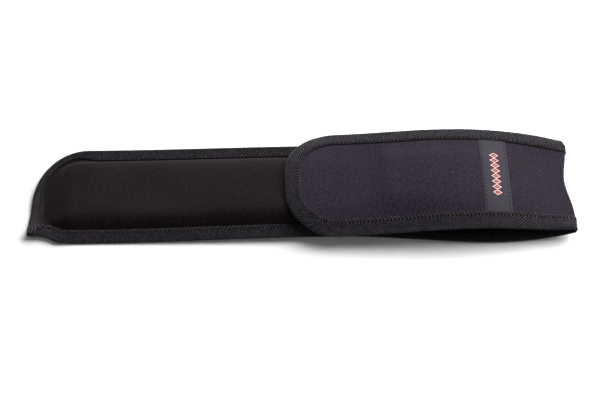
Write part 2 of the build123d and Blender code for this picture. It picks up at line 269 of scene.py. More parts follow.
def settled_by(x, y):
    """How much the simulated cloth has risen at a place, read between the rows and columns of its grid."""
    if not SETTLED:
        return 0.0
    row = np.interp(x, SETTLED["x"], np.arange(len(SETTLED["x"])))
    near = np.interp(row, np.arange(len(SETTLED["x"])), SETTLED["near"])
    far = np.interp(row, np.arange(len(SETTLED["x"])), SETTLED["far"])
    col = np.interp((y - near) / (far - near), SETTLED["share"], np.arange(len(SETTLED["share"])))
    r0 = np.minimum(np.floor(row).astype(int), len(SETTLED["x"]) - 2)
    c0 = np.minimum(np.floor(col).astype(int), len(SETTLED["share"]) - 2)
    fr, fc = row - r0, col - c0
    z = SETTLED["rise"]
    low = z[r0, c0] * (1 - fc) + z[r0, c0 + 1] * fc
    high = z[r0 + 1, c0] * (1 - fc) + z[r0 + 1, c0 + 1] * fc
    return low * (1 - fr) + high * fr


def front_z(x, y):
    """Outer face of the front panel: its rise over the seam, low at the tip, with a crease and a ridge."""
    inset = inset_at(x, y) + tape_creep(x, y)
    rise = panel_rise_at(y, inset)
    from_tip = x - tip_x
    low_end = 0.12 + 0.88 * smooth((from_tip - 8) / 21)
    crease_x = tip_x + 20.5 + 0.1 * (y + 30)
    crease = 0.5 * np.exp(-((x - crease_x) / 2.4) ** 2) * smooth((6 - y) / 24) * smooth((inset - 11) / 5)
    ridge = 0.55 * np.exp(-((inset - foot_inset - 0.9) / 0.55) ** 2) * smooth((-y) / 10)
    ridge = ridge * (0.45 + 0.55 * np.sin(x / 31 + 0.8) ** 2) * smooth((from_tip - 20) / 20)
    flange = flange_top * edge_squeeze(x, y, inset)
    return pouch_z(x, y) + flange + rise * low_end - crease + ridge + settled_by(x, y)


# Mesh helpers

def quads(rows, cols, start=0, wrap=False):
    """Corner numbers of the faces between neighbouring rows and columns of a grid."""
    index = np.arange(rows * cols).reshape(rows, cols) + start
    if wrap:
        index = np.concatenate([index, index[:, :1]], axis=1)
    a, b, c, d = index[:-1, :-1], index[1:, :-1], index[1:, 1:], index[:-1, 1:]
    return np.stack([a, b, c, d], axis=-1).reshape(-1, 4)


def fold_dent(y):
    """How far the fold is pressed in: a raised cosine, deepest just past the middle, and a rounded far end."""
    way = np.clip((y - 4) / 30, -1, 1)
    return 0.3 + 1.8 * (1 + np.cos(np.pi * way)) + 1.6 * smooth((y - 34) / 6)


def points_of(mesh):
    """A mesh's points as rows of three, in metres."""
    flat = np.empty(len(mesh.vertices) * 3)
    mesh.vertices.foreach_get("co", flat)
    return flat.reshape(-1, 3)


def press_fold(mesh):
    """Draws a mesh's points back from the fold by the dent, which fades out over the last 40 mm."""
    at = points_of(mesh)
    at[:, 0] -= MM * fold_dent(at[:, 1] / MM) * smooth((at[:, 0] / MM - fold_x + 40) / 40)
    mesh.vertices.foreach_set("co", at.reshape(-1))
    mesh.update()


def cut_at_fold(mesh, side):
    """Cuts a closed mesh at the fold's plane, keeps the part on one side of it and closes the cut."""
    work = bmesh.new()
    work.from_mesh(mesh)
    everything = work.verts[:] + work.edges[:] + work.faces[:]
    made = bmesh.ops.bisect_plane(work, geom=everything, dist=1e-7, plane_co=(fold_x * MM, 0, 0),
                                  plane_no=(-side, 0, 0), clear_outer=True)
    edges = [e for e in made["geom_cut"] if isinstance(e, bmesh.types.BMEdge)]
    bmesh.ops.edgeloop_fill(work, edges=edges)
    work.to_mesh(mesh)
    work.free()
    mesh.update()


def make_mesh(name, points, faces, lay=None, sharp_degrees=50, cut=0):
    """A mesh object at the origin from points in millimetres, turned to face outwards by its volume."""
    points = np.asarray(points, float).reshape(-1, 3) * MM
    mesh = bpy.data.meshes.new(name)
    plain = [f for group in faces for f in np.asarray(group).tolist()]
    mesh.from_pydata(points.tolist(), [], plain)
    if lay is not None:
        store = mesh.attributes.new("lay", "FLOAT_VECTOR", "POINT")
        store.data.foreach_set("vector", np.asarray(lay, float).reshape(-1))
    mesh.update()
    if cut:
        cut_at_fold(mesh, cut)
    points = points_of(mesh)
    mesh.calc_loop_triangles()
    corners = np.empty(len(mesh.loop_triangles) * 3, dtype=np.int32)
    mesh.loop_triangles.foreach_get("vertices", corners)
    tri = points[corners.reshape(-1, 3)]
    middle = points.mean(axis=0)
    volume = np.einsum("ij,ij->", tri[:, 0] - middle, np.cross(tri[:, 1] - middle, tri[:, 2] - middle))
    if volume < 0:
        mesh.flip_normals()
    mesh.polygons.foreach_set("use_smooth", np.ones(len(mesh.polygons), dtype=bool))
    if sharp_degrees:
        mesh.set_sharp_from_angle(angle=math.radians(sharp_degrees))
    press_fold(mesh)
    obj = bpy.data.objects.new(name, mesh)
    bpy.context.collection.objects.link(obj)
    return obj


def shell(name, upper, lower, lay=None):
    """A closed layer between two grids of the same shape, walled round its four sides."""
    rows, cols = upper.shape[:2]
    count = rows * cols
    top = quads(rows, cols)
    bottom = quads(rows, cols, count)[:, ::-1]
    index = np.arange(count).reshape(rows, cols)
    rim = np.concatenate([index[0, :-1], index[:-1, -1], index[-1, :0:-1], index[:0:-1, 0]])
    after = np.roll(rim, -1)
    walls = np.stack([rim, after, after + count, rim + count], axis=-1)
    points = np.concatenate([upper.reshape(-1, 3), lower.reshape(-1, 3)])
    if lay is None:
        lay = upper * [1, 1, 0]
    lays = np.concatenate([lay.reshape(-1, 3), lay.reshape(-1, 3)])
    return make_mesh(name, points, [top, bottom, walls], lays)


def grid_points(x, y, z):
    """Points from three grids of the same shape."""
    return np.stack([x, y, z], axis=-1)


def layer(name, x, y, high, low, lay=None):
    """A closed layer over plan points, between two heights."""
    return shell(name, grid_points(x, y, high), grid_points(x, y, low), lay)


def sweep(name, rings, lay=None, sharp_degrees=50, cut=0):
    """A tube of rings, each a closed loop of points, with a face over each end."""
    rows, cols = rings.shape[:2]
    sides = quads(rows, cols, wrap=True)
    first = np.arange(cols)[None, :]
    last = (rows - 1) * cols + np.arange(cols)[None, ::-1]
    return make_mesh(name, rings, [sides, first[:, ::-1], last[:, ::-1]], lay, sharp_degrees, cut)


def strands(name, places, along, up, curve, radii, sides=5):
    """Many small bent rods: a ring of points carried along a curve of (along, up) steps at every place."""
    places = np.asarray(places, float)
    along = np.broadcast_to(np.asarray(along, float), places.shape)
    up = np.broadcast_to(np.asarray(up, float), places.shape)
    along = along / np.linalg.norm(along, axis=1, keepdims=True)
    side = np.cross(up, along)
    side = side / np.linalg.norm(side, axis=1, keepdims=True)
    up = np.cross(along, side)
    curve = np.asarray(curve, float)
    radii = np.asarray(radii, float)
    run = np.gradient(curve, axis=0)
    run = run / np.linalg.norm(run, axis=1, keepdims=True)
    turn = np.arange(sides) * 2 * np.pi / sides
    out = np.cos(turn)[None, :] * radii[:, None]
    wide = np.sin(turn)[None, :] * radii[:, None]
    a = curve[:, 0][:, None] - run[:, 1][:, None] * out
    h = curve[:, 1][:, None] + run[:, 0][:, None] * out
    points = (places[:, None, None] + a[None, ..., None] * along[:, None, None]
              + h[None, ..., None] * up[:, None, None] + wide[None, ..., None] * side[:, None, None])
    rings = len(curve)
    size = rings * sides
    one = quads(rings, sides, wrap=True)
    offsets = np.arange(len(places))[:, None, None] * size
    faces = (one[None] + offsets).reshape(-1, 4)
    first = (np.arange(sides)[None, None, ::-1] + offsets).reshape(-1, sides)
    last = (np.arange(sides)[None, None] + (rings - 1) * sides + offsets).reshape(-1, sides)
    lay = np.zeros((len(places), rings, sides, 3))
    lay[..., 0] = curve[:, 0][None, :, None]
    lay[..., 1] = turn[None, None, :]
    lay[..., 2] = np.arange(len(places))[:, None, None]
    return make_mesh(name, points, [faces, first, last], lay.reshape(-1, 3), None)


def stitch_row(name, points, ups, length=2.3, gap=0.75, radius=0.27, sink=0.3):
    """Lockstitches along a line: each a rod that rises out of the cloth and dives back, as half an ellipse.

    A step of more than 12 mm is a jump of the needle, and holds no stitches.
    """
    step = np.linalg.norm(np.diff(points, axis=0), axis=1)
    step = np.where(step > 12.0, 0.0, step)
    run = np.concatenate([[0], np.cumsum(step)])
    count = max(int(run[-1] / (length + gap)), 1)
    at = (np.arange(count) + 0.5) * run[-1] / count
    spot = np.stack([np.interp(at, run, points[:, k]) for k in range(3)], axis=1)
    ahead = np.stack([np.interp(at + 0.4, run, points[:, k]) for k in range(3)], axis=1)
    behind = np.stack([np.interp(at - 0.4, run, points[:, k]) for k in range(3)], axis=1)
    normal = np.stack([np.interp(at, run, ups[:, k]) for k in range(3)], axis=1)
    t = np.linspace(-1, 1, 7)
    curve = np.stack([t * length / 2, (np.sqrt(1 - t * t) - 1) * sink + radius * 0.35], axis=1)
    radii = radius * (0.55 + 0.45 * np.sqrt(1 - t * t))
    return strands(name, spot, ahead - behind, normal, curve, radii, 6)


def surface_normals(height, x, y):
    """Upward normals of a height over the plan, from its slopes."""
    d = 0.3
    slope_x = (height(x + d, y) - height(x - d, y)) / (2 * d)
    slope_y = (height(x, y + d) - height(x, y - d)) / (2 * d)
    n = np.stack([-slope_x, -slope_y, np.ones_like(slope_x)], axis=-1)
    return n / np.linalg.norm(n, axis=-1, keepdims=True)


# Outlines of the pouch and the flap as dense paths, from the fold's near side round to its far side

def pouch_path(step=0.5):
    """The whole edge: near side from the fold, the tip's outline, far side to the fold."""
    xs = np.arange(fold_x, tip_x + 90.4, -step)
    near = np.stack([xs, -near_width(xs)], axis=1)
    xs = np.arange(tip_x + 90.4, fold_x + step, step)
    far = np.stack([np.minimum(xs, fold_x), far_width(np.minimum(xs, fold_x))], axis=1)
    return np.concatenate([near, TIP_EDGE, far])


def flap_path(step=0.5):
    """Near edge, end with its two rounded corners, far edge, as points in plan."""
    start = flap_end_x + flap_radius
    xs = np.arange(fold_x, start, -step)
    near = np.stack([xs, -flap_width(xs)], axis=1)
    cy = flap_half - flap_radius
    turn = np.linspace(0, np.pi / 2, int(flap_radius * 1.6 / step))
    low = np.stack([start - flap_radius * np.sin(turn), -cy - flap_radius * np.cos(turn)], axis=1)
    ys = np.arange(-cy + step, cy, step)
    end = np.stack([np.full(ys.shape, flap_end_x), ys], axis=1)
    high = np.stack([start - flap_radius * np.cos(turn), cy + flap_radius * np.sin(turn)], axis=1)
    xs = np.arange(start + step, fold_x + step, step)
    far = np.stack([np.minimum(xs, fold_x), flap_width(np.minimum(xs, fold_x))], axis=1)
    return np.concatenate([near, low, end, high, far])


def arc_lengths(path):
    """Distance along a path at each of its points."""
    return np.concatenate([[0], np.cumsum(np.linalg.norm(np.diff(path, axis=0), axis=1))])


def along_path(path, run, s):
    """Point and inward normal of a path at distances s, straight on past its ends: its left side is outward."""
    held = np.clip(s, 0, run[-1])
    here = np.stack([np.interp(held, run, path[:, k]) for k in range(2)], axis=-1)
    d = 1.2
    ahead = np.stack([np.interp(held + d, run, path[:, k]) for k in range(2)], axis=-1)
    behind = np.stack([np.interp(held - d, run, path[:, k]) for k in range(2)], axis=-1)
    way = ahead - behind
    way = way / np.maximum(np.linalg.norm(way, axis=-1, keepdims=True), 1e-9)
    inward = np.stack([way[..., 1], -way[..., 0]], axis=-1)
    return here + way * (s - held)[..., None], inward


def tape_profile(stack, width, thick=tape_thick):
    """Cross section of a folded tape: inset, height, rib share and place across, round both of its skins."""
    radius = stack / 2
    flat = np.array([0.0, 0.35, 1.2, 2.6, 4.0, 5.4]) + np.array([0, 0, 0, 0.25, 0.6, 1.0]) * (width - 9.5)
    insets = width - flat
    top = np.stack([insets, np.full(6, stack)], axis=1)
    top[0] = (width + 0.02, stack - 0.32)
    turn = np.linspace(0, np.pi, 11)[1:-1]
    bulge = 1.25
    start_in = max(radius * bulge, 2.8)
    edge = np.stack([start_in - start_in * np.sin(turn) ** 0.8, radius + radius * np.cos(turn)], axis=1)
    bottom = top[::-1] * [1, 0]
    bottom[-1] = (width + 0.02, 0.32)
    outer = np.concatenate([top, edge, bottom])
    low = thick
    high = stack - thick
    inner = np.array([[width, low], [width * 0.5, low], [thick * 1.3, low],
                      [thick * 1.3, high], [width * 0.5, high], [width, high]])
    step = np.linalg.norm(np.diff(outer, axis=0), axis=1)
    across = np.concatenate([[0], np.cumsum(step)])
    share = np.ones(len(outer))
    share[[0, -1]] = 0.25
    rows = np.concatenate([outer, inner])
    shares = np.concatenate([share, np.zeros(len(inner))])
    places = np.concatenate([across, np.linspace(across[-1], 0, len(inner))])
    return rows, shares, places


def tape_ribs(length, pitch, spare=0):
    """Rows along a tape, six to a rib, and each row's height share: rounded yarns between grooves."""
    part = np.array([0.0, 0.14, 0.3, 0.5, 0.7, 0.86])
    lift = np.array([0.0, 0.42, 0.86, 1.0, 0.86, 0.42])
    count = max(int(round(length / pitch)), 2)
    pitch = length / count
    number = np.arange(-spare, count + spare)
    s = ((number[:, None] + part[None]) * pitch).reshape(-1)
    return np.append(s, (count + spare) * pitch), np.append(np.tile(lift, len(number)), 0.0)


def tape_lay(s, places, lift, shares):
    """What the tape's finish reads: run along the tape, place across it, and share of the rib's height."""
    grid = np.zeros((len(s), len(places)))
    lay = grid_points(s[:, None] + grid, places[None] + grid, lift[:, None] * shares[None])
    return lay.reshape(-1, 3)


def chevron(places, sizes, flip):
    """Run of a rib along the tape at each place across it: it turns near both inner edges and in the fold."""
    mirrored = np.minimum(places, places.max() - places)
    turn = sizes.rib_turn / MM
    return flip * sizes.rib_slope * (np.abs(mirrored - turn) - turn)


def grooved(profile, lift, shares, depth, stack):
    """The section at every row, its skin sunk between the ribs."""
    out_n = np.where(profile[:, 0] < stack * 0.62, profile[:, 0] - stack * 0.62, 0)
    middle = stack / 2
    out_h = np.where(profile[:, 1] > middle, 1.0, -1.0) * np.abs(profile[:, 1] - middle)
    size = np.hypot(out_n, out_h) + 1e-9
    sink = (lift - 1)[:, None] * shares[None] * depth
    return profile[:, 0][None] + sink * (out_n / size)[None], profile[:, 1][None] + sink * (out_h / size)[None]


def bound_edge(name, path, base, stack, sizes, flip, width, grow=None):
    """Herringbone tape folded over an edge: a section carried along the path, its rows skewed to a chevron."""
    run = arc_lengths(path)
    profile, shares, places = tape_profile(stack, width)
    s, lift = tape_ribs(run[-1], sizes.rib_pitch / MM, 5)
    at = s[:, None] + chevron(places, sizes, flip)[None]
    here, inward = along_path(path, run, at)
    inset, height = grooved(profile, lift, shares, sizes.rib_depth / MM, stack)
    if grow is not None:
        inset, height = grow(here, inset, height)
    x = here[..., 0] + inward[..., 0] * inset
    y = here[..., 1] + inward[..., 1] * inset
    z = base(np.minimum(x, fold_x), y) + height
    return sweep(name, grid_points(x, y, z), tape_lay(s, places, lift, shares), 70, -1)


# Materials: a socket with operators, and a finish that makes nodes

class Value:
    """A socket that answers to + - * / and a few named steps by adding Math nodes."""

    def __init__(self, finish, socket):
        self.finish = finish
        self.socket = socket

    def math(self, operation, *others):
        links = {0: self}
        for k, other in enumerate(others):
            links[k + 1] = other
        return self.finish.node("ShaderNodeMath", {"operation": operation}, links)

    def __add__(self, other):
        return self.math("ADD", other)

    __radd__ = __add__

    def __mul__(self, other):
        return self.math("MULTIPLY", other)

    __rmul__ = __mul__

    def __sub__(self, other):
        return self.math("SUBTRACT", other)

    def __rsub__(self, other):
        return self.finish.node("ShaderNodeMath", {"operation": "SUBTRACT"}, {0: other, 1: self})

    def __truediv__(self, other):
        return self.math("DIVIDE", other)

    def sin(self):
        return self.math("SINE")

    def size(self):
        return self.math("ABSOLUTE")

    def part(self):
        return self.math("FRACT")

    def floor(self):
        return self.math("FLOOR")

    def least(self, other):
        return self.math("MINIMUM", other)

    def most(self, other):
        return self.math("MAXIMUM", other)

    def between(self, low, high, to_low=0.0, to_high=1.0):
        """Eases from one number to another while this value goes from low to high."""
        return self.finish.node("ShaderNodeMapRange", {"interpolation_type": "SMOOTHSTEP"},
                                {"Value": self, "From Min": low, "From Max": high, "To Min": to_low,
                                 "To Max": to_high})

    def wave(self):
        """A rounded thread between two grooves, once per whole number: one less the square."""
        side = self.part() * 2.0 - 1.0
        return 1.0 - side * side


MADE = {}


class Finish:
    """A material with one Principled shader, and the method that makes every other node."""

    def __init__(self, name):
        self.material = bpy.data.materials.new(name + "_finish")
        MADE[name] = self.material
        self.material.use_nodes = True
        self.tree = self.material.node_tree
        self.tree.nodes.clear()
        self.shader = self.tree.nodes.new("ShaderNodeBsdfPrincipled")
        output = self.tree.nodes.new("ShaderNodeOutputMaterial")
        self.tree.links.new(self.shader.outputs[0], output.inputs["Surface"])

    def node(self, kind, settings=None, links=None, out=0):
        """Adds a node, sets its settings, then its sockets' values or links, and gives one output back."""
        made = self.tree.nodes.new(kind)
        for key, value in (settings or {}).items():
            setattr(made, key, value)
        for key, value in (links or {}).items():
            self.plug(made.inputs[key], value)
        return Value(self, made.outputs[out])

    def plug(self, socket, value):
        """Links a value to a socket, or sets the socket to a number or colour."""
        if isinstance(value, Value):
            self.tree.links.new(value.socket, socket)
        else:
            socket.default_value = value

    def attribute(self):
        """The three parts of the vector that each mesh keeps as lay."""
        vector = self.node("ShaderNodeAttribute", {"attribute_name": "lay"}, out="Vector")
        parts = self.tree.nodes.new("ShaderNodeSeparateXYZ")
        self.tree.links.new(vector.socket, parts.inputs[0])
        return [Value(self, parts.outputs[k]) for k in range(3)]

    def place(self):
        """Object coordinates, as a vector."""
        return self.node("ShaderNodeTexCoord", out="Object")

    def noise(self, scale, detail=3.0, roughness=0.55, where=None):
        """Noise over the object's own coordinates, from 0 to 1."""
        return self.node("ShaderNodeTexNoise", {"noise_dimensions": "3D"},
                         {"Vector": where or self.place(), "Scale": scale, "Detail": detail,
                          "Roughness": roughness}, "Fac")

    def mix(self, factor, a, b, blend="MIX"):
        """A colour between two others, or with MULTIPLY their product."""
        made = self.tree.nodes.new("ShaderNodeMix")
        made.data_type = "RGBA"
        made.blend_type = blend
        for key, value in (("Factor", factor), ("A", a), ("B", b)):
            self.plug(made.inputs[key], value)
        return Value(self, made.outputs["Result"])

    def times(self, a, b):
        """One colour multiplied by another."""
        return self.mix(1.0, a, b, "MULTIPLY")

    def streaks(self, along, across, pitch):
        """Uneven thickness of yarns: noise that is long one way and one thread wide the other."""
        where = self.node("ShaderNodeCombineXYZ", {}, {0: along / (pitch * 2.2), 1: across / (pitch * 0.8)})
        return self.noise(1.0, 2.0, 0.6, where)

    def bump(self, height, depth):
        """Turns a height in millimetres into the shader's normal."""
        normal = self.node("ShaderNodeBump", {}, {"Height": height, "Distance": depth * MM,
                                                  "Strength": 1.0}, "Normal")
        self.plug(self.shader.inputs["Normal"], normal)

    def colour(self, value):
        self.plug(self.shader.inputs["Base Color"], value)

    def rough(self, value):
        self.plug(self.shader.inputs["Roughness"], value)

    def constants(self, **given):
        """Numbers that are the same all over, set on the shader's own sockets."""
        for key, value in given.items():
            self.shader.inputs[key.replace("_", " ")].default_value = value


def rgb(colour, gain=1.0):
    """A colour with its alpha, made lighter or darker by a number."""
    return tuple(c * gain for c in colour[:3]) + (1.0,)


def plain_weave(finish, u, v, pitch):
    """Threads over and under each other in a checker: the height of whichever thread lies on top."""
    across = u / pitch
    down = v / pitch
    over = ((across * math.pi).sin() * (down * math.pi).sin()).between(-0.25, 0.25)
    warp = across.wave() * (0.55 + 0.45 * (down * math.pi).sin().size())
    weft = down.wave() * (0.55 + 0.45 * (across * math.pi).sin().size())
    return over * warp + (1.0 - over) * weft


def woven_finish(name, colour, pitch, diagonal, depth, roughness, level, sheen, slubby, twill=False):
    """Woven nylon: threads in a weave of a given pitch, painted shade that darkens the cloth between the
    threads, a slow drift in tone, and a soft sheen.
    """
    finish = Finish(name)
    x, y, _ = finish.attribute()
    if diagonal:
        u = (x + y) * 0.7071
        v = (x - y) * 0.7071
    else:
        u = x
        v = y
    if twill:
        ridge = (v / pitch).wave()
        notch = ((u + (v / pitch).floor() * pitch * 0.37) / (pitch * 1.15)).wave()
        height = ridge * (0.72 + 0.28 * notch)
    else:
        height = plain_weave(finish, u, v, pitch)
    drift = finish.noise(28.0, 4.0)
    fine = finish.noise(900.0, 2.0)
    slub = finish.streaks(u, v, pitch) * 0.5 + finish.streaks(v, u, pitch) * 0.5
    # Painted shade: the colour drops to about a tenth where the weave is low between the threads, and is raised
    # on the thread tops.
    shade = finish.mix(height.between(0.1, 0.9), rgb(colour, 0.12), rgb(colour, 1.8))
    uneven = finish.mix(slub.between(0.4, 0.6), rgb((1.0 - slubby,) * 3), rgb((1.0 + slubby,) * 3))
    cloudy = finish.mix(drift.between(0.3, 0.7), rgb((0.88,) * 3), rgb((1.12,) * 3))
    finish.colour(finish.times(finish.times(shade, uneven), cloudy))
    finish.rough(roughness + (fine - 0.5) * 0.12)
    finish.bump(height + fine * 0.35 + slub * 0.5, depth)
    finish.constants(Specular_IOR_Level=level, Sheen_Weight=sheen, Sheen_Roughness=0.45)
    return finish.material


def tape_finish(name, colour):
    """Herringbone tape: yarns along each modelled rib, painted shade that darkens the grooves between the ribs
    and between the yarns, and a soft sheen.
    """
    finish = Finish(name)
    s, across, lift = finish.attribute()
    yarn = (across / 0.95).wave()
    fine = finish.noise(1400.0, 3.0)
    drift = finish.noise(34.0, 3.0)
    # Painted shade: the grooves between the ribs go nearly black, and each crest darkens between its yarns; the
    # specks and drift are random tone.
    crest = lift.between(0.35, 1.0)
    dark = rgb(colour, 0.04)
    speck = finish.noise(420.0, 3.0, 0.7)
    light = finish.mix(drift * 0.35 + speck.between(0.38, 0.62, 0.0, 0.65), rgb(colour, 0.4), rgb(colour, 3.9))
    finish.colour(finish.mix(crest * (0.55 + 0.45 * yarn), dark, light))
    finish.rough(0.62 + 0.2 * fine)
    finish.bump(yarn * 0.6 + fine * 0.5, 0.12)
    finish.constants(Specular_IOR_Level=0.1, Sheen_Weight=0.26, Sheen_Roughness=0.3)
    return finish.material


def thread_finish(name, colour):
    """Bonded thread: a tight diagonal twist, painted shade between its turns, and a soft gloss."""
    finish = Finish(name)
    along, turn, _ = finish.attribute()
    twist = (along * 1.6 + turn * 0.32).wave()
    # Painted shade: the thread's colour is a third as bright in the hollows of its twist as on its ridges.
    finish.colour(finish.mix(twist, rgb(colour, 0.5), rgb(colour, 1.5)))
    finish.rough(0.42 + 0.15 * twist)
    finish.bump(twist, 0.08)
    finish.constants(Specular_IOR_Level=0.07)
    return finish.material


def plastic_finish(name, colour, roughness=0.5):
    """Stiff sheet plastic: a fine orange-peel grain and faint cloudy wear."""
    finish = Finish(name)
    grain = finish.noise(1800.0, 3.0)
    cloud = finish.noise(40.0, 4.0)
    finish.colour(finish.mix(cloud.between(0.35, 0.7), rgb(colour, 0.85), rgb(colour, 1.3)))
    finish.rough(roughness - 0.1 + 0.2 * cloud)
    finish.bump(grain, 0.05)
    finish.constants(Specular_IOR_Level=0.4)
    return finish.material


def pile_finish(name, colour):
    """Looped pile and hooks: a dark ground that lightens with fine noise."""
    finish = Finish(name)
    fuzz = finish.noise(1500.0, 4.0, 0.7)
    cloud = finish.noise(90.0, 3.0)
    finish.colour(finish.mix(fuzz.between(0.3, 0.75), rgb(colour, 0.4), rgb(colour, 1.7)))
    finish.rough(0.75 + 0.2 * cloud)
    finish.bump(fuzz, 0.3)
    finish.constants(Specular_IOR_Level=0.05, Sheen_Weight=0.06, Sheen_Roughness=0.5)
    return finish.material


def webbing_finish(name, colour):
    """Heavy webbing: bold ribs along it, crossed by picks that step from rib to rib, with painted shade where
    they lie low.
    """
    finish = Finish(name)
    x, y, _ = finish.attribute()
    rib = (y / 1.9).wave()
    pick = ((x + (y / 1.9).floor() * 0.55) / 1.1).wave()
    fine = finish.noise(1300.0, 2.0)
    height = rib * (0.6 + 0.4 * pick)
    # Painted shade: the colour is darkest in the grooves between the ribs and picks, and lightest on their
    # tops.
    finish.colour(finish.mix(height.between(0.0, 0.85), rgb(colour, 0.3), rgb(colour, 1.3)))
    finish.rough(0.55 + 0.2 * fine)
    finish.bump(height + 0.2 * fine, 0.35)
    finish.constants(Specular_IOR_Level=0.15, Sheen_Weight=0.08, Sheen_Roughness=0.4)
    return finish.material


def label_finish(name, ground, motif, centre_x):
    """Satin label: fine picks across it, and a chain of small lozenges woven in a second colour; painted shade
    darkens the satin between its picks and the lozenges between their stitches.
    """
    finish = Finish(name)
    x, y, _ = finish.attribute()
    x = x - centre_x
    pick = (y / 0.28).wave()
    warp = (x / 0.4).wave()
    step = y / 4.6
    diamond = (x / 3.1).size() + (step.part() * 2.0 - 1.0).size()
    ring = (diamond.between(0.62, 0.7)) * (1.0 - diamond.between(1.0, 1.08))
    heart = 1.0 - diamond.between(0.22, 0.3)
    inside = (1.0 - y.size().between(18.3, 18.5))
    woven = (ring + heart).least(1.0) * inside
    # Painted shade: the lozenges' colour drops to about two thirds between their stitches.
    stitch = 0.72 + 0.28 * (x / 0.55).wave()
    yarn = finish.mix(ring, rgb(motif), rgb((0.8, 0.4, 0.39)))
    tone = finish.times(yarn, finish.mix(stitch, rgb((0.65,) * 3), rgb((1.0,) * 3)))
    cloud = finish.noise(60.0, 3.0)
    # The satin's colour is partly painted shade, darker between the picks, and partly a random cloud of tone.
    satin = finish.mix(pick * 0.6 + cloud * 0.4, rgb(ground, 0.75), rgb(ground, 1.2))
    finish.colour(finish.mix(woven, satin, tone))
    finish.rough(0.6 + 0.15 * woven)
    finish.bump(pick * 0.5 + warp * 0.25 + woven * 1.5, 0.07)
    finish.constants(Specular_IOR_Level=0.06, Sheen_Weight=0.03, Sheen_Roughness=0.35)
    return finish.material


def dress(obj, material):
    """Gives a piece its material."""
    obj.data.materials.clear()
    obj.data.materials.append(material)


def finish_of(name):
    """A material that was made earlier, by its slot's name."""
    return MADE[name]


# Properties

class SheathSizes(bpy.types.PropertyGroup):
    """Sizes that a maker would change."""
    rib_pitch: bpy.props.FloatProperty(name="Rib pitch", description="Distance between the tape's ribs",
                                       default=2.5 * MM, min=0.001, unit="LENGTH")
    rib_depth: bpy.props.FloatProperty(name="Rib depth", description="Depth of the tape's grooves",
                                       default=0.55 * MM, min=0.0, unit="LENGTH")
    rib_turn: bpy.props.FloatProperty(name="Chevron place",
                                      description="Where the ribs turn, from the inner edge",
                                      default=2.3 * MM, min=0.0, unit="LENGTH")
    rib_slope: bpy.props.FloatProperty(name="Rib slope", description="Run along the tape per step across it",
                                       default=1.35, min=0.0, subtype="FACTOR")
    cloth_pitch: bpy.props.FloatProperty(name="Cloth pitch", description="Thread spacing of the pouch's cloth",
                                         default=1.0 * MM, min=0.0002, unit="LENGTH")
    twill_pitch: bpy.props.FloatProperty(name="Twill pitch", description="Spacing of the flap's diagonal lines",
                                         default=1.1 * MM, min=0.0002, unit="LENGTH")
    swell: bpy.props.FloatProperty(name="Swell limit", description="Farthest that the pad's cloth may move",
                                   default=1.0 * MM, min=0.0, unit="LENGTH")


class SheathColours(bpy.types.PropertyGroup):
    """Colours of the finishes."""
    pouch: bpy.props.FloatVectorProperty(name="Pouch cloth", description="Woven nylon of the pouch",
                                         default=(0.0082, 0.0058, 0.0074), subtype="COLOR", min=0, max=1)
    flap: bpy.props.FloatVectorProperty(name="Flap cloth", description="Twill of the flap",
                                        default=(0.0130, 0.0093, 0.0158), subtype="COLOR", min=0, max=1)
    tape: bpy.props.FloatVectorProperty(name="Tape", description="Herringbone binding",
                                        default=(0.0130, 0.0107, 0.0142), subtype="COLOR", min=0, max=1)
    thread: bpy.props.FloatVectorProperty(name="Thread", description="Sewing thread",
                                          default=(0.010, 0.009, 0.011), subtype="COLOR", min=0, max=1)
    label: bpy.props.FloatVectorProperty(name="Label", description="Satin ground of the label",
                                         default=(0.0300, 0.0265, 0.0350), subtype="COLOR", min=0, max=1)
    motif: bpy.props.FloatVectorProperty(name="Motif", description="Second yarn of the label",
                                         default=(0.66, 0.24, 0.22), subtype="COLOR", min=0, max=1)


class SheathPart:
    """What all the operators share."""
    bl_options = {"REGISTER", "UNDO"}

    def keep(self, obj, body, slot, *nodes):
        """Gives a piece its material, body and slot, and lets it stand for its nodes."""
        dress(obj, finish_of(slot))
        if body:
            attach(obj, body)
        if nodes:
            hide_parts(*nodes)

    def sew(self, name, points, ups, body, node):
        """A row of stitches on a body."""
        self.keep(stitch_row(name, points, ups), body, "thread", node)


class SHEATH_OT_finishes(SheathPart, bpy.types.Operator):
    """Makes every material"""
    bl_idname = "sheath.finishes"
    bl_label = "Finishes"

    def execute(self, context):
        sizes = context.scene.sheath_sizes
        colours = context.scene.sheath_colours
        woven_finish("pouch_cloth", colours.pouch, sizes.cloth_pitch / MM, True, 0.12, 0.7, 0.035, 0.02, 0.45)
        woven_finish("flap_cloth", colours.flap, sizes.twill_pitch / MM, True, 0.22, 0.68, 0.04, 0.04, 0.42,
                     twill=True)
        woven_finish("lining_cloth", (0.014, 0.014, 0.016), 0.45, False, 0.05, 0.62, 0.06, 0.03, 0.12)
        tape_finish("binding_tape", colours.tape)
        thread_finish("thread", colours.thread)
        plastic_finish("board", (0.05, 0.05, 0.05), 0.55)
        plastic_finish("liner_plastic", (0.03, 0.03, 0.031), 0.4)
        plastic_finish("foam", (0.06, 0.06, 0.06), 0.85)
        pile_finish("loop_pile", (0.014, 0.013, 0.015))
        pile_finish("hook_tape", (0.018, 0.018, 0.02))
        webbing_finish("webbing", (0.02, 0.019, 0.021))
        label_finish("satin_label", colours.label, colours.motif, (label_x0 + label_x1) / 2)
        dress(bpy.data.objects["blade_liner_rear"], finish_of("liner_plastic"))
        return {"FINISHED"}


# Pouch

def edge_spaced(count):
    """Shares from 0 to 1, closer together near both ends: a straight line less a sine."""
    t = np.linspace(0, 1, count)
    return t - 0.72 * np.sin(2 * np.pi * t) / (2 * np.pi)


def pouch_rows(inset, x1, step):
    """Stations from the tip's inset to x1, closer over the rounded end."""
    start = tip_x + tip_slant + inset
    near = start + 24 * (np.linspace(0, 1, int(40 / step)) ** 1.6)
    rest = np.arange(near[-1] + step, x1 - 1e-6, step)
    return np.concatenate([near, rest, [x1]])


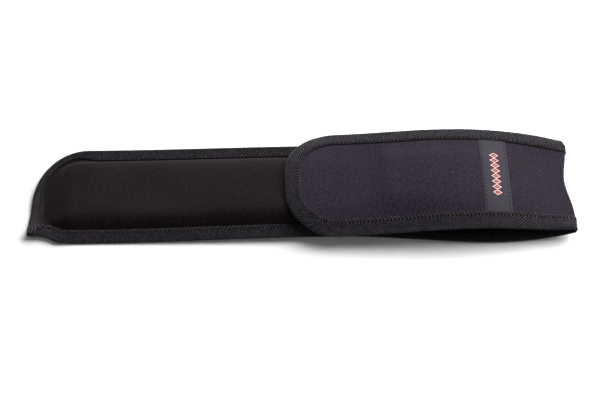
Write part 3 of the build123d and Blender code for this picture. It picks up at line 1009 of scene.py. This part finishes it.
def pouch_grid(inset, x1, step, cols):
    """Plan points inside the pouch's edge by an inset, row by row, as shares of each row's width."""
    x = pouch_rows(inset, x1, step)
    centre_x = tip_x + corner_long
    centre_y = fold_half + far_more - corner_wide
    long, wide = corner_long - tip_slant - inset, corner_wide - inset
    out = np.clip((centre_x - x) / long, 0, 1)
    far = np.where(x < centre_x, centre_y + wide * np.sqrt(1 - out ** 2), far_width(x) - inset)
    small = max(near_radius - inset, 0.4)
    corner = np.maximum(small - (x - tip_x - inset), 0)
    near = -near_width(x) + inset + small - np.sqrt(np.maximum(small ** 2 - corner ** 2, 0))
    share = edge_spaced(cols)
    y = near[:, None] + (far - near)[:, None] * share[None]
    return np.broadcast_to(x[:, None], y.shape), y


class SHEATH_OT_back_panel(SheathPart, bpy.types.Operator):
    """Back panel: outer cloth, board and lining from the tip to the fold"""
    bl_idname = "sheath.back_panel"
    bl_label = "Back panel"

    def execute(self, context):
        layers = (("back_cloth", "back_cover", tape_thick, cover_thick, "pouch_cloth"),
                  ("back_board", "back_stiffener", tape_thick + cover_thick, board_thick, "board"),
                  ("back_inner_cloth", "back_lining", tape_thick + cover_thick + board_thick, lining_thick,
                   "lining_cloth"))
        for name, node, low, thick, finish in layers:
            x, y = pouch_grid(tape_thick * 1.4, fold_x, 1.6, 46)
            base = pouch_z(x, y)
            keep = edge_squeeze(x, y, inset_at(x, y))
            obj = layer(name, x, y, base + (low + thick) * keep, base + low * keep)
            self.keep(obj, "pouch", finish, node)
        return {"FINISHED"}


def relax(obj, rows, fade, limit, pressure, stretch):
    """Lets a cloth settle for twenty frames over a light pressure, then limits and evens out its moves."""
    original = points_of(obj.data)
    pinned = fade <= 0
    scene = bpy.context.scene
    group = obj.vertex_groups.new(name="pinned")
    group.add([int(k) for k in np.flatnonzero(pinned)], 1.0, "REPLACE")
    cloth = obj.modifiers.new("settle", "CLOTH")
    s = cloth.settings
    s.quality = 5
    s.mass = 0.12
    s.tension_stiffness = 12
    s.compression_stiffness = 12
    s.shear_stiffness = 6
    s.bending_stiffness = 0.6
    s.vertex_group_mass = "pinned"
    s.shrink_min = -stretch
    s.use_pressure = True
    s.uniform_pressure_force = pressure
    s.effector_weights.gravity = 0
    cloth.collision_settings.use_collision = False
    cloth.point_cache.frame_start = 1
    cloth.point_cache.frame_end = 20
    for k in range(1, 21):
        scene.frame_set(k)
    seen = obj.evaluated_get(bpy.context.evaluated_depsgraph_get())
    moved = np.empty(len(obj.data.vertices) * 3)
    seen.data.vertices.foreach_get("co", moved)
    moved = moved.reshape(-1, 3)
    obj.modifiers.remove(cloth)
    obj.vertex_groups.remove(group)
    scene.frame_set(1)
    shift = moved - original
    size = np.linalg.norm(shift, axis=1, keepdims=True)
    shift = (shift * np.minimum(1, limit / np.maximum(size, 1e-9))).reshape(rows, -1, 3)
    fade = fade.reshape(rows, -1, 1)
    for _ in range(50):
        shift[1:-1] += (shift[:-2] + shift[2:] - 2 * shift[1:-1]) / 4
        shift[:, 1:-1] += (shift[:, :-2] + shift[:, 2:] - 2 * shift[:, 1:-1]) / 4
        shift *= np.where(fade > 0, 1, 0)
    shift = (shift * fade).reshape(-1, 3)
    obj.data.vertices.foreach_set("co", (original + shift).reshape(-1))
    obj.data.update()
    return shift[:, 2].reshape(rows, -1)


class SHEATH_OT_front_panel(SheathPart, bpy.types.Operator):
    """Raised front panel: outer cloth settled over its foam, and the lining inside"""
    bl_idname = "sheath.front_panel"
    bl_label = "Front panel"

    def execute(self, context):
        limit = context.scene.sheath_sizes.swell
        x, y = pouch_grid(1.8, mouth_x - 0.2, 1.15, 92)
        upper = grid_points(x, y, front_z(x, y))
        rows, cols = upper.shape[:2]
        lay = upper * [1, 1, 0]
        obj = make_mesh("front_cloth", upper, [quads(rows, cols)], lay, None)
        if obj.data.polygons[len(obj.data.polygons) // 2].normal.z < 0:
            obj.data.flip_normals()
        inset = inset_at(x, y).reshape(-1)
        fade = smooth((inset - foot_inset - 1.2) / 5) * smooth((mouth_x - 3 - x.reshape(-1)) / 8)
        rise = relax(obj, rows, fade, limit, 0.35, 0.012) / MM
        SETTLED.update(x=x[:, 0], near=y[:, 0], far=y[:, -1], share=edge_spaced(cols), rise=rise)
        thick = obj.modifiers.new("thickness", "SOLIDIFY")
        thick.thickness = cover_thick * MM
        thick.offset = -1
        self.keep(obj, "pouch", "pouch_cloth", "front_cover")

        x, y = pouch_grid(foot_inset + 2.0, mouth_x - 0.2, 2.2, 50)
        upright = np.maximum(surface_normals(front_z, x, y)[..., 2], 0.4)
        outer = front_z(x, y) - (cover_thick + 0.3) / upright
        foam = layer("front_padding", x, y, outer, outer - foam_thick * 0.8 / upright)
        self.keep(foam, "pouch", "foam", "front_foam")

        grids = []
        for way_in, under in ((liner_inset, 1.5), (liner_inset + liner_thick, 1.5 + liner_thick)):
            x, y = pouch_grid(way_in, liner_end_x, 2.0, 48)
            upright = np.maximum(surface_normals(front_z, x, y)[..., 2], 0.5)
            foot = pouch_z(x, y) + liner_foot
            z = np.maximum(front_z(x, y) - under / upright, foot + 2.1 - under)
            z[0], z[:, 0], z[:, -1] = foot[0], foot[:, 0], foot[:, -1]
            grids.append(grid_points(x, y, z))
        liner = shell("sleeve_front", grids[0], grids[1])
        self.keep(liner, "pouch", "liner_plastic", "blade_liner_front")

        x, y = pouch_grid(1.8, mouth_x - 0.2, 2.0, 60)
        inset = inset_at(x, y)
        depth = np.minimum(panel_rise_at(y, inset), 1.6)
        foot = (flange_top - 0.5) * edge_squeeze(x, y, inset)
        low = np.maximum(front_z(x, y) - cover_thick - depth, pouch_z(x, y) + foot)
        lining = layer("front_inner_cloth", x, y, low, low - lining_thick)
        self.keep(lining, "pouch", "lining_cloth", "front_lining")
        return {"FINISHED"}


class SHEATH_OT_pouch_binding(SheathPart, bpy.types.Operator):
    """Binding round the pouch, with its seam"""
    bl_idname = "sheath.pouch_binding"
    bl_label = "Pouch binding"

    def execute(self, context):
        sizes = context.scene.sheath_sizes
        path = pouch_path()
        run = arc_lengths(path)
        full = flange_top + tape_thick

        def lower_past_mouth(here, inset, height):
            """The upper leg comes down past the mouth, and creeps out round the far corner."""
            drop = mouth_drop(here[..., 0])
            high = np.clip((height - 1.2) / 2.0, 0, 1)
            narrow = tape_creep(here[..., 0], here[..., 1]) / tape_width * smooth((height - 1.8) / 1.2)
            inset = inset * (1 - narrow)
            return inset, (height - high * drop) * edge_squeeze(here[..., 0], here[..., 1], inset)

        obj = bound_edge("pouch_tape", path, pouch_z, full, sizes, -1.0, tape_width, lower_past_mouth)
        self.keep(obj, "pouch", "binding_tape", "edge_tape_pouch")

        s = np.arange(2.0, run[-1] - 2.0, 0.5)
        here, inward = along_path(path, run, s)
        inset = (tape_width - seam_in) * (1 - tape_creep(here[:, 0], here[:, 1]) / tape_width)
        spot = here + inward * inset[:, None]
        high = (full - mouth_drop(spot[:, 0])) * edge_squeeze(here[:, 0], here[:, 1], inset)
        z = pouch_z(spot[:, 0], spot[:, 1]) + high
        up = surface_normals(pouch_z, spot[:, 0], spot[:, 1])
        self.sew("pouch_tape_thread", np.column_stack([spot, z]), up, "pouch", "edge_seam_pouch")
        return {"FINISHED"}


class SHEATH_OT_mouth(SheathPart, bpy.types.Operator):
    """Bound mouth of the front panel, with its seam"""
    bl_idname = "sheath.mouth"
    bl_label = "Mouth"

    def execute(self, context):
        sizes = context.scene.sheath_sizes
        half = float(pouch_width(mouth_x)) - foot_inset - 0.2
        pitch = sizes.rib_pitch / MM
        ys, lift = tape_ribs(2 * half, pitch)
        ys = ys - half
        thick = tape_thick
        width = tape_width
        over = np.array([0.0, 0.4, 1.6, 3.2, 5.0, 6.8, 8.4, 9.3, 10.1, 10.3])
        rise = np.array([-0.35, 0.0, 0.0, 0.0, 0.0, 0.0, 0.0, -0.25, -1.0, -2.0])
        x = (mouth_x - width) + over
        skew = sizes.rib_slope * (np.abs(over - 6.2) - 6.2)
        fade = smooth((half - np.abs(ys)) / 8)
        y = ys[:, None] + skew[None] * fade[:, None]
        y = np.clip(y, -half, half)
        flat_x = np.broadcast_to(x[None], y.shape)
        at_x = np.minimum(flat_x, mouth_x)
        skin = front_z(at_x, y) + thick + rise[None] + (lift - 1)[:, None] * sizes.rib_depth / MM * 0.8
        under = np.maximum(front_z(at_x, y) - 2.4, pouch_z(at_x, y) + 2.35)
        inside = np.maximum(front_z(at_x, y) - 1.9, pouch_z(at_x, y) + 2.35)
        top = grid_points(flat_x, y, skin)
        low_x = flat_x[:, ::-1] - 0.8 * (flat_x[:, ::-1] > mouth_x)
        low = grid_points(low_x, y[:, ::-1], under[:, ::-1])
        low[:, 0, 0] = mouth_x + tape_thick
        low[:, 0, 2] = np.minimum(skin[:, -1] - 0.1, under[:, -1])
        inner = grid_points(flat_x[:, 1:8], y[:, 1:8], front_z(at_x, y)[:, 1:8] - 0.1)
        inner[:, :, 2] = np.maximum(inner[:, :, 2], inside[:, 1:8])
        rings = np.concatenate([top, low, inner], axis=1)
        count = rings.shape[1]
        lay = np.zeros(rings.shape)
        lay[..., 0] = ys[:, None]
        lay[..., 1] = np.linspace(0, 22, count)[None]
        lay[..., 2] = lift[:, None]
        obj = sweep("mouth_binding", rings, lay.reshape(-1, 3), 60)
        self.keep(obj, "pouch", "binding_tape", "mouth_tape")

        ys = np.arange(-half + 1.5, half - 1.5, 0.5)
        xs = np.full(ys.shape, mouth_x - 7.5)
        points = np.column_stack([xs, ys, front_z(xs, ys) + thick])
        self.sew("mouth_thread", points, surface_normals(front_z, xs, ys), "pouch", "mouth_seam")
        return {"FINISHED"}


class SHEATH_OT_tape_end(SheathPart, bpy.types.Operator):
    """Turned end of the binding, tacked down at the tip's near corner"""
    bl_idname = "sheath.tape_end"
    bl_label = "Tape end"

    def execute(self, context):
        sizes = context.scene.sheath_sizes
        stack = flange_top + tape_thick + 1.1
        long = 6.2
        profile, shares, places = tape_profile(stack, 7.4)
        s, lift = tape_ribs(long, sizes.rib_pitch / MM * 0.8)
        squeeze = 1 - 0.22 * smooth(1 - s / 1.2) - 0.2 * smooth((s - long + 1.6) / 1.6)
        lean = 0.5 * np.sin(places / places.max() * 3 * np.pi)
        x = (tip_x + 0.25 + s)[:, None] + lean[None] * smooth(np.minimum(s, long - s) / 2)[:, None]
        inset, height = grooved(profile, lift, shares, 0.3, stack)
        height = stack / 2 + (height - stack / 2) * squeeze[:, None]
        y = -near_width(x) - 0.3 + inset + 0.1 * (x - tip_x)
        z = pouch_z(x, y) + height - 0.5
        obj = sweep("tape_end", grid_points(x, y, z), tape_lay(s, places, lift, shares), 70)
        self.keep(obj, "pouch", "binding_tape", "tape_tail")
        return {"FINISHED"}


def box_line(x0, x1, half, step=0.5):
    """A closed rectangle in plan as dense points."""
    xs = np.arange(x0, x1, step)
    ys = np.arange(-half, half, step)
    return np.concatenate([
        np.column_stack([xs, np.full(xs.shape, -half)]), np.column_stack([np.full(ys.shape, x1), ys]),
        np.column_stack([xs[::-1] + step, np.full(xs.shape, half)]),
        np.column_stack([np.full(ys.shape, x0), ys[::-1] + step])])


def patch_places(step_x, step_y):
    """Places in rows over the patch."""
    px, py = np.meshgrid(np.arange(patch_x0 + 0.8, patch_x1 - 0.6, step_x),
                         np.arange(-patch_half + 0.8, patch_half - 0.6, step_y), indexing="ij")
    return px.ravel(), py.ravel()


class SHEATH_OT_closure(SheathPart, bpy.types.Operator):
    """Hook-and-loop closure: a soft patch on the pouch and a hooked one under the flap, each sewn round"""
    bl_idname = "sheath.closure"
    bl_label = "Closure"

    def execute(self, context):
        generator = np.random.default_rng(7)
        xs = np.linspace(patch_x0, patch_x1, 46)
        ys = np.linspace(-patch_half, patch_half, 40)
        x, y = np.meshgrid(xs, ys, indexing="ij")
        edge = np.minimum(np.minimum(x - patch_x0, patch_x1 - x), patch_half - np.abs(y))
        soft = 0.25 * smooth(1 - edge / 1.2)
        low = front_z(x, y)
        obj = layer("soft_patch", x, y, low + 0.45 - soft, low)
        self.keep(obj, "pouch", "loop_pile", "loop_patch")
        px, py = patch_places(1.15, 1.15)
        px = px + generator.uniform(-0.45, 0.45, px.size)
        py = py + generator.uniform(-0.45, 0.45, py.size)
        spots = np.column_stack([px, py, front_z(px, py) + 0.42])
        turn = generator.uniform(0, 2 * np.pi, px.size)
        lean = np.column_stack([np.cos(turn), np.sin(turn), 0 * turn])
        arc = np.linspace(0.0, np.pi, 6)
        curve = np.column_stack([-np.cos(arc) * 0.42, np.sin(arc) * 0.42])
        loops = strands("soft_patch_loops", spots, lean, surface_normals(front_z, px, py), curve,
                        np.full(6, 0.09), 4)
        self.keep(loops, "pouch", "loop_pile")

        line = box_line(patch_x0 + seam_in, patch_x1 - seam_in, patch_half - seam_in)
        up = surface_normals(front_z, line[:, 0], line[:, 1])
        z = front_z(line[:, 0], line[:, 1]) + 0.62
        self.sew("soft_patch_thread", np.column_stack([line, z]), up, "pouch", "loop_patch_seam")

        high = flap_z(x, y) + tape_thick
        obj = layer("hook_patch_base", x, y, high, high - 0.3)
        self.keep(obj, "flap", "hook_tape", "hook_patch")
        px, py = patch_places(1.3, 1.1)
        spots = np.column_stack([px, py, flap_z(px, py) + tape_thick - 0.3])
        turn = np.linspace(0, 1.25 * np.pi, 5)
        stem = np.array([[0.0, -0.02], [0.0, 0.12]])
        crook = np.column_stack([0.13 - np.cos(turn) * 0.13, 0.12 + np.sin(turn) * 0.16])
        curve = np.concatenate([stem, crook[1:]])
        hooks = strands("hooks", spots, np.array([1.0, 0.0, 0.0]), -surface_normals(flap_z, px, py), curve,
                        np.array([0.1, 0.085, 0.08, 0.075, 0.07, 0.055]), 4)
        self.keep(hooks, "flap", "hook_tape")
        z = flap_z(line[:, 0], line[:, 1]) + 0.35
        under = -surface_normals(flap_z, line[:, 0], line[:, 1])
        self.sew("hook_patch_thread", np.column_stack([line, z]), under, "flap", "hook_patch_seam")
        return {"FINISHED"}


class SHEATH_OT_belt_loop(SheathPart, bpy.types.Operator):
    """Webbing belt loop on the back, sewn down at both ends"""
    bl_idname = "sheath.belt_loop"
    bl_label = "Belt loop"

    def execute(self, context):
        thick = 1.5
        half = 19.0
        sewn = 14.0
        ramp = 9.0
        xs = np.linspace(loop_x0, loop_x1, 96)
        under = pouch_z(xs, 0 * xs) + tape_thick
        away = np.minimum(xs - loop_x0, loop_x1 - xs)
        leave = smooth((away - sewn) / ramp)
        top = under * (1 - leave) + np.minimum(thick, under) * leave
        top = np.maximum(top, thick)
        ys = np.linspace(-half, half, 40)
        x, y = np.meshgrid(xs, ys, indexing="ij")
        edge = np.clip((half - np.abs(y)) / 0.8, 0, 1)
        round_off = 0.42 * (1 - np.sqrt(1 - (1 - edge) ** 2))
        z_top = top[:, None] - round_off
        z_low = top[:, None] - thick + round_off
        lay = grid_points(x, y, 0 * x)
        obj = layer("belt_webbing", x, y, z_top, np.maximum(z_low, 0.02), lay)
        self.keep(obj, "pouch", "webbing", "belt_loop")
        margin = 2.4
        rows = []
        for start_x in (loop_x0, loop_x1 - sewn):
            x0 = start_x + margin
            x1 = start_x + sewn - margin
            rows.append(box_line(x0, x1, half - margin))
            for start, end in ((x0, x1), (x1, x0)):
                across = np.linspace(-half + margin, half - margin, 70)
                rows.append(np.column_stack([np.linspace(start, end, 70), across]))
        line = np.concatenate(rows)
        z = np.interp(line[:, 0], xs, top - thick)
        down = np.tile([0.0, 0.0, -1.0], (len(line), 1))
        self.sew("belt_webbing_thread", np.column_stack([line, z]), down, "pouch", "belt_loop_seam")
        return {"FINISHED"}


# Flap

def flap_grid(inset, step, cols):
    """Plan points inside the flap's edge by an inset, in rows from its end to the fold."""
    radius = flap_radius - inset
    start = flap_end_x + inset
    turn = np.linspace(0, np.pi / 2, int(radius * 1.4 / step) + 2)
    near = start + radius * (1 - np.cos(turn))
    rest = np.arange(near[-1] + step, fold_x - 1e-6, step)
    x = np.concatenate([near, rest, [fold_x]])
    out = np.maximum(start + radius - x, 0)
    half = flap_width(x) - inset - radius + np.sqrt(np.maximum(radius ** 2 - out ** 2, 0))
    share = np.sin(np.linspace(-1, 1, cols) * 1.2) / math.sin(1.2)
    y = half[:, None] * share[None]
    return np.broadcast_to(x[:, None], y.shape), y


def flap_sag(x, y):
    """Soft unevenness of the flap's cloth: two slow waves that fade to the edges."""
    edge = smooth((flap_width(x) - np.abs(y) - 9.0) / 19)
    slow = 0.18 * np.sin(x / 17 + y / 23) + 0.1 * np.sin(x / 9.5 - y / 12 + 1.7)
    step = 1.15 * (1 + np.tanh((x - mouth_x + 7) / 5.5)) * smooth((fold_x - 30 - x) / 90)
    return edge * (slow + step)


class SHEATH_OT_flap(SheathPart, bpy.types.Operator):
    """Flap: outer cloth, board and lining"""
    bl_idname = "sheath.flap"
    bl_label = "Flap"

    def execute(self, context):
        lining_top = tape_thick + lining_thick
        board_top = lining_top + board_thick
        layers = (("flap_inner_cloth", "flap_lining", tape_thick, lining_top, "lining_cloth"),
                  ("flap_board", "flap_stiffener", lining_top, board_top, "board"),
                  ("flap_cloth", "flap_cover", board_top, board_top + cover_thick, "flap_cloth"))
        for name, node, low, high, finish in layers:
            x, y = flap_grid(tape_thick * 1.4, 1.2, 80)
            base = flap_z(x, y)
            keep = flap_squeeze(x, y, flap_inset(x, y))
            sag = flap_sag(x, y) if finish == "flap_cloth" else 0.0
            obj = layer(name, x, y, base + high * keep + sag, base + low * keep)
            self.keep(obj, "flap", finish, node)
        return {"FINISHED"}


class SHEATH_OT_flap_binding(SheathPart, bpy.types.Operator):
    """Binding round the flap, with its seam"""
    bl_idname = "sheath.flap_binding"
    bl_label = "Flap binding"

    def execute(self, context):
        sizes = context.scene.sheath_sizes
        path = flap_path()
        run = arc_lengths(path)

        def thin_near(here, inset, height):
            """The near side of the tape thins outwards."""
            return inset, height * flap_squeeze(here[..., 0], here[..., 1], inset)

        obj = bound_edge("flap_tape", path, flap_z, flap_stack, sizes, 1.0, flap_tape_width, thin_near)
        self.keep(obj, "flap", "binding_tape", "edge_tape_flap")
        s = np.arange(2.0, run[-1] - 2.0, 0.5)
        here, inward = along_path(path, run, s)
        inset = flap_tape_width - seam_in
        spot = here + inward * inset
        z = flap_z(spot[:, 0], spot[:, 1]) + flap_stack * flap_squeeze(here[:, 0], here[:, 1], inset)
        up = surface_normals(flap_z, spot[:, 0], spot[:, 1])
        self.sew("flap_tape_thread", np.column_stack([spot, z]), up, "flap", "edge_seam_flap")
        return {"FINISHED"}


class SHEATH_OT_label(SheathPart, bpy.types.Operator):
    """Satin label across the flap, with its two rows of stitches"""
    bl_idname = "sheath.label"
    bl_label = "Label"

    def execute(self, context):
        xs = np.linspace(label_x0, label_x1, 40)
        half = float(flap_width((label_x0 + label_x1) / 2)) - flap_tape_width + 0.6
        ys = np.linspace(-half, half, 110)
        x, y = np.meshgrid(xs, ys, indexing="ij")
        base = flap_z(x, y) + flap_top + flap_sag(x, y)
        side = np.minimum(x - label_x0, label_x1 - x)
        pucker = 0.1 * np.sin(y * 2 * np.pi / 3.05) * smooth(1 - np.abs(side - 1.3) / 2.2)
        thick = label_thick - 0.12 * smooth(1 - side / 0.7)
        obj = layer("label_ribbon", x, y, base + thick + pucker, base - 0.05)
        self.keep(obj, "flap", "satin_label", "label")
        made = []
        for k, line_x in enumerate((label_x0 + 1.3, label_x1 - 1.3)):
            ly = np.arange(-half + 0.8, half - 0.6, 0.5)
            lx = np.full(ly.shape, line_x)
            spots = grid_points(lx, ly, flap_z(lx, ly) + flap_top + flap_sag(lx, ly) + label_thick)
            up = surface_normals(flap_z, lx, ly)
            made.append(stitch_row("label_thread_%d" % k, spots, up, 2.1, 1.25, 0.26, 0.35))
        self.keep(join("label_thread", made), "flap", "thread", "label_seam")
        return {"FINISHED"}


def join(name, objects):
    """One object from several, made of their meshes side by side."""
    made = bmesh.new()
    for obj in objects:
        made.from_mesh(obj.data)
    mesh = bpy.data.meshes.new(name)
    made.to_mesh(mesh)
    made.free()
    for obj in objects:
        bpy.data.objects.remove(obj)
    obj = bpy.data.objects.new(name, mesh)
    bpy.context.collection.objects.link(obj)
    return obj


# Fold

def ring_points(radius, ys, turns):
    """Points of a half round about the fold's axis: x and z by the cosine and sine of the turn."""
    t, y = np.meshgrid(turns, ys, indexing="ij")
    r = np.broadcast_to(np.asarray(radius, float), t.shape)
    return grid_points(fold_x + r * np.cos(t), y, axis_z + r * np.sin(t))


def turn_with_both(obj):
    """Bakes a piece's world placement into its mesh."""
    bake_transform(obj)


class SHEATH_OT_fold(SheathPart, bpy.types.Operator):
    """The fold, where the back panel's layers and tape turn over into the flap"""
    bl_idname = "sheath.fold"
    bl_label = "Fold"

    def execute(self, context):
        sizes = context.scene.sheath_sizes
        turns = np.linspace(-np.pi / 2, np.pi / 2, 24)
        inner = 1.2
        layers = (("fold_inner_cloth", "fold_lining", lining_thick, "lining_cloth"),
                  ("fold_board", "fold_stiffener", board_thick, "board"),
                  ("fold_cloth", "fold_cover", cover_thick, "flap_cloth"))
        half = fold_half - flap_tape_width + 1.6
        for name, node, thick, finish in layers:
            ys = np.linspace(-half, half, 60)
            high = ring_points(inner + thick, ys, turns)
            low = ring_points(inner, ys, turns)
            length = (turns - turns[0]) * (inner + thick)
            lay = np.zeros(high.shape)
            lay[..., 0] = fold_x + length[:, None]
            lay[..., 1] = ys[None]
            obj = shell(name, high, low, lay)
            self.keep(obj, None, finish, node)
            turn_with_both(obj)
            inner += thick
        pieces = []
        for side in (-1, 1):
            profile, shares, places = tape_profile(flap_stack, flap_tape_width)
            pitch = sizes.rib_pitch / MM
            round_run = 4 * pitch
            s, lift = tape_ribs(round_run, pitch, 5)
            at = s[:, None] + chevron(places, sizes, 1.0)[None]
            held = np.clip(at, 0, round_run)
            turn = (held / round_run - 0.5) * np.pi
            inset, height = grooved(profile, lift, shares, sizes.rib_depth / MM, flap_stack)
            radius = 0.4 + flap_stack - height
            x = fold_x + radius * np.cos(turn) - np.abs(at - held)
            z = axis_z + radius * np.sin(turn)
            y = side * (fold_half - inset)
            lay = tape_lay(s, places, lift, shares)
            pieces.append(sweep("fold_tape_%d" % side, grid_points(x, y, z), lay, 70, 1))
        tape = join("fold_binding", pieces)
        self.keep(tape, None, "binding_tape", "fold_tape")
        turn_with_both(tape)
        return {"FINISHED"}


# Stage

class SHEATH_OT_stage(SheathPart, bpy.types.Operator):
    """Floor, world, lamps and camera"""
    bl_idname = "sheath.stage"
    bl_label = "Stage"

    def lamp(self, name, spot, aim, size, power):
        """A square soft lamp that faces a point."""
        light = bpy.data.lights.new(name, "AREA")
        light.shape = "RECTANGLE"
        light.size, light.size_y = size
        light.energy = power
        obj = bpy.data.objects.new(name, light)
        obj.location = spot
        obj.rotation_euler = (Vector(aim) - Vector(spot)).to_track_quat("-Z", "Y").to_euler()
        bpy.context.collection.objects.link(obj)

    def execute(self, context):
        scene = context.scene
        floor_mesh = bpy.data.meshes.new("floor")
        reach = 4.0
        floor_mesh.from_pydata([(-reach, -reach, 0), (reach, -reach, 0), (reach, reach, 0), (-reach, reach, 0)],
                               [], [(0, 1, 2, 3)])
        floor = bpy.data.objects.new("floor", floor_mesh)
        context.collection.objects.link(floor)
        finish = Finish("floor_white")
        finish.constants(Roughness=1.0, Specular_IOR_Level=0.0)
        tree = finish.tree
        tree.nodes.remove(finish.shader)
        grain = finish.noise(3.0, 2.0)
        grey = finish.mix(grain, rgb((0.55,) * 3), rgb((0.58,) * 3))
        near = finish.node("ShaderNodeBsdfDiffuse", {}, {"Color": grey})
        lit = finish.node("ShaderNodeBsdfDiffuse", {}, {"Color": rgb((0.97, 0.957, 0.97))})
        glow = finish.node("ShaderNodeEmission", {}, {"Color": rgb((1.0, 0.99, 1.0)), "Strength": 0.05})
        seen = finish.node("ShaderNodeAddShader", {}, {0: lit, 1: glow})
        eye = finish.node("ShaderNodeLightPath", out="Is Camera Ray")
        eye = eye.most(finish.node("ShaderNodeLightPath", out="Is Glossy Ray"))
        both = finish.node("ShaderNodeMixShader", {}, {0: eye, 1: near, 2: seen})
        output = [n for n in tree.nodes if n.type == "OUTPUT_MATERIAL"][0]
        tree.links.new(both.socket, output.inputs["Surface"])
        floor_mesh.materials.append(finish.material)

        world = bpy.data.worlds.new("studio")
        scene.world = world
        world.use_nodes = True
        tree = world.node_tree
        tree.nodes.clear()
        path = tree.nodes.new("ShaderNodeLightPath")
        light = tree.nodes.new("ShaderNodeBackground")
        light.inputs["Color"].default_value = (1.0, 1.0, 1.0, 1.0)
        light.inputs["Strength"].default_value = 0.1
        white = tree.nodes.new("ShaderNodeBackground")
        white.inputs["Strength"].default_value = 1.0
        white.inputs["Color"].default_value = (1.0, 1.0, 1.0, 1.0)
        both = tree.nodes.new("ShaderNodeMath")
        both.operation = "MAXIMUM"
        tree.links.new(path.outputs["Is Camera Ray"], both.inputs[0])
        tree.links.new(path.outputs["Is Transmission Ray"], both.inputs[1])
        clear = tree.nodes.new("ShaderNodeMath")
        clear.operation = "MAXIMUM"
        tree.links.new(both.outputs[0], clear.inputs[0])
        tree.links.new(path.outputs["Is Glossy Ray"], clear.inputs[1])
        mix = tree.nodes.new("ShaderNodeMixShader")
        out = tree.nodes.new("ShaderNodeOutputWorld")
        tree.links.new(clear.outputs[0], mix.inputs[0])
        tree.links.new(light.outputs[0], mix.inputs[1])
        tree.links.new(white.outputs[0], mix.inputs[2])
        tree.links.new(mix.outputs[0], out.inputs["Surface"])

        self.lamp("key", (0.7, 0.47, 0.8), (0.0, 0.0, 0.0), (1.3, 1.1), 28.0)
        self.lamp("side", (1.35, 0.15, 0.5), (0.0, 0.0, 0.0), (0.8, 0.6), 8.0)
        self.lamp("back", (0.25, 1.3, 0.62), (0.0, 0.0, 0.0), (1.2, 0.5), 14.0)

        camera_data = bpy.data.cameras.new("camera")
        camera_data.lens = 100.0
        camera_data.sensor_width = 36.0
        camera_data.clip_end = 20.0
        camera = bpy.data.objects.new("camera", camera_data)
        context.collection.objects.link(camera)
        turn = math.radians(0.8)
        rise = math.radians(50.0)
        aim_x, aim_y, away = -1.0, -2.8, 1124.0
        px = aim_x
        py = aim_y - away * math.cos(rise)
        camera.location = ((px * math.cos(turn) + py * math.sin(turn)) * MM,
                           (-px * math.sin(turn) + py * math.cos(turn)) * MM, away * math.sin(rise) * MM)
        camera.rotation_euler = (math.pi / 2 - rise, 0.0, -turn)
        scene.camera = camera
        scene.view_settings.view_transform = "Standard"
        return {"FINISHED"}


STEPS = (SHEATH_OT_finishes, SHEATH_OT_stage, SHEATH_OT_back_panel, SHEATH_OT_front_panel,
         SHEATH_OT_pouch_binding, SHEATH_OT_mouth, SHEATH_OT_tape_end, SHEATH_OT_closure,
         SHEATH_OT_belt_loop, SHEATH_OT_flap, SHEATH_OT_flap_binding, SHEATH_OT_label, SHEATH_OT_fold)


class SHEATH_PT_build(bpy.types.Panel):
    """Lists the steps that build the sheath"""
    bl_idname = "SHEATH_PT_build"
    bl_label = "Knife Sheath"
    bl_space_type = "VIEW_3D"
    bl_region_type = "UI"
    bl_category = "Sheath"

    def draw(self, context):
        layout = self.layout
        for group in (context.scene.sheath_sizes, context.scene.sheath_colours):
            for key in group.__annotations__:
                layout.prop(group, key)
        for step in STEPS:
            layout.operator(step.bl_idname, text=step.bl_label)


CLASSES = (SheathSizes, SheathColours) + STEPS + (SHEATH_PT_build,)


def register():
    for cls in CLASSES:
        bpy.utils.register_class(cls)
    bpy.types.Scene.sheath_sizes = bpy.props.PointerProperty(type=SheathSizes)
    bpy.types.Scene.sheath_colours = bpy.props.PointerProperty(type=SheathColours)


def unregister():
    del bpy.types.Scene.sheath_colours
    del bpy.types.Scene.sheath_sizes
    for cls in reversed(CLASSES):
        bpy.utils.unregister_class(cls)


def plain(box):
    """A box as lists of numbers."""
    return [[float(v) for v in corner] for corner in box]


def main():
    """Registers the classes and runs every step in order."""
    register()
    for step in STEPS:
        group, name = step.bl_idname.split(".")
        getattr(getattr(bpy.ops, group), name)()


if __name__ == "__main__":
    main()
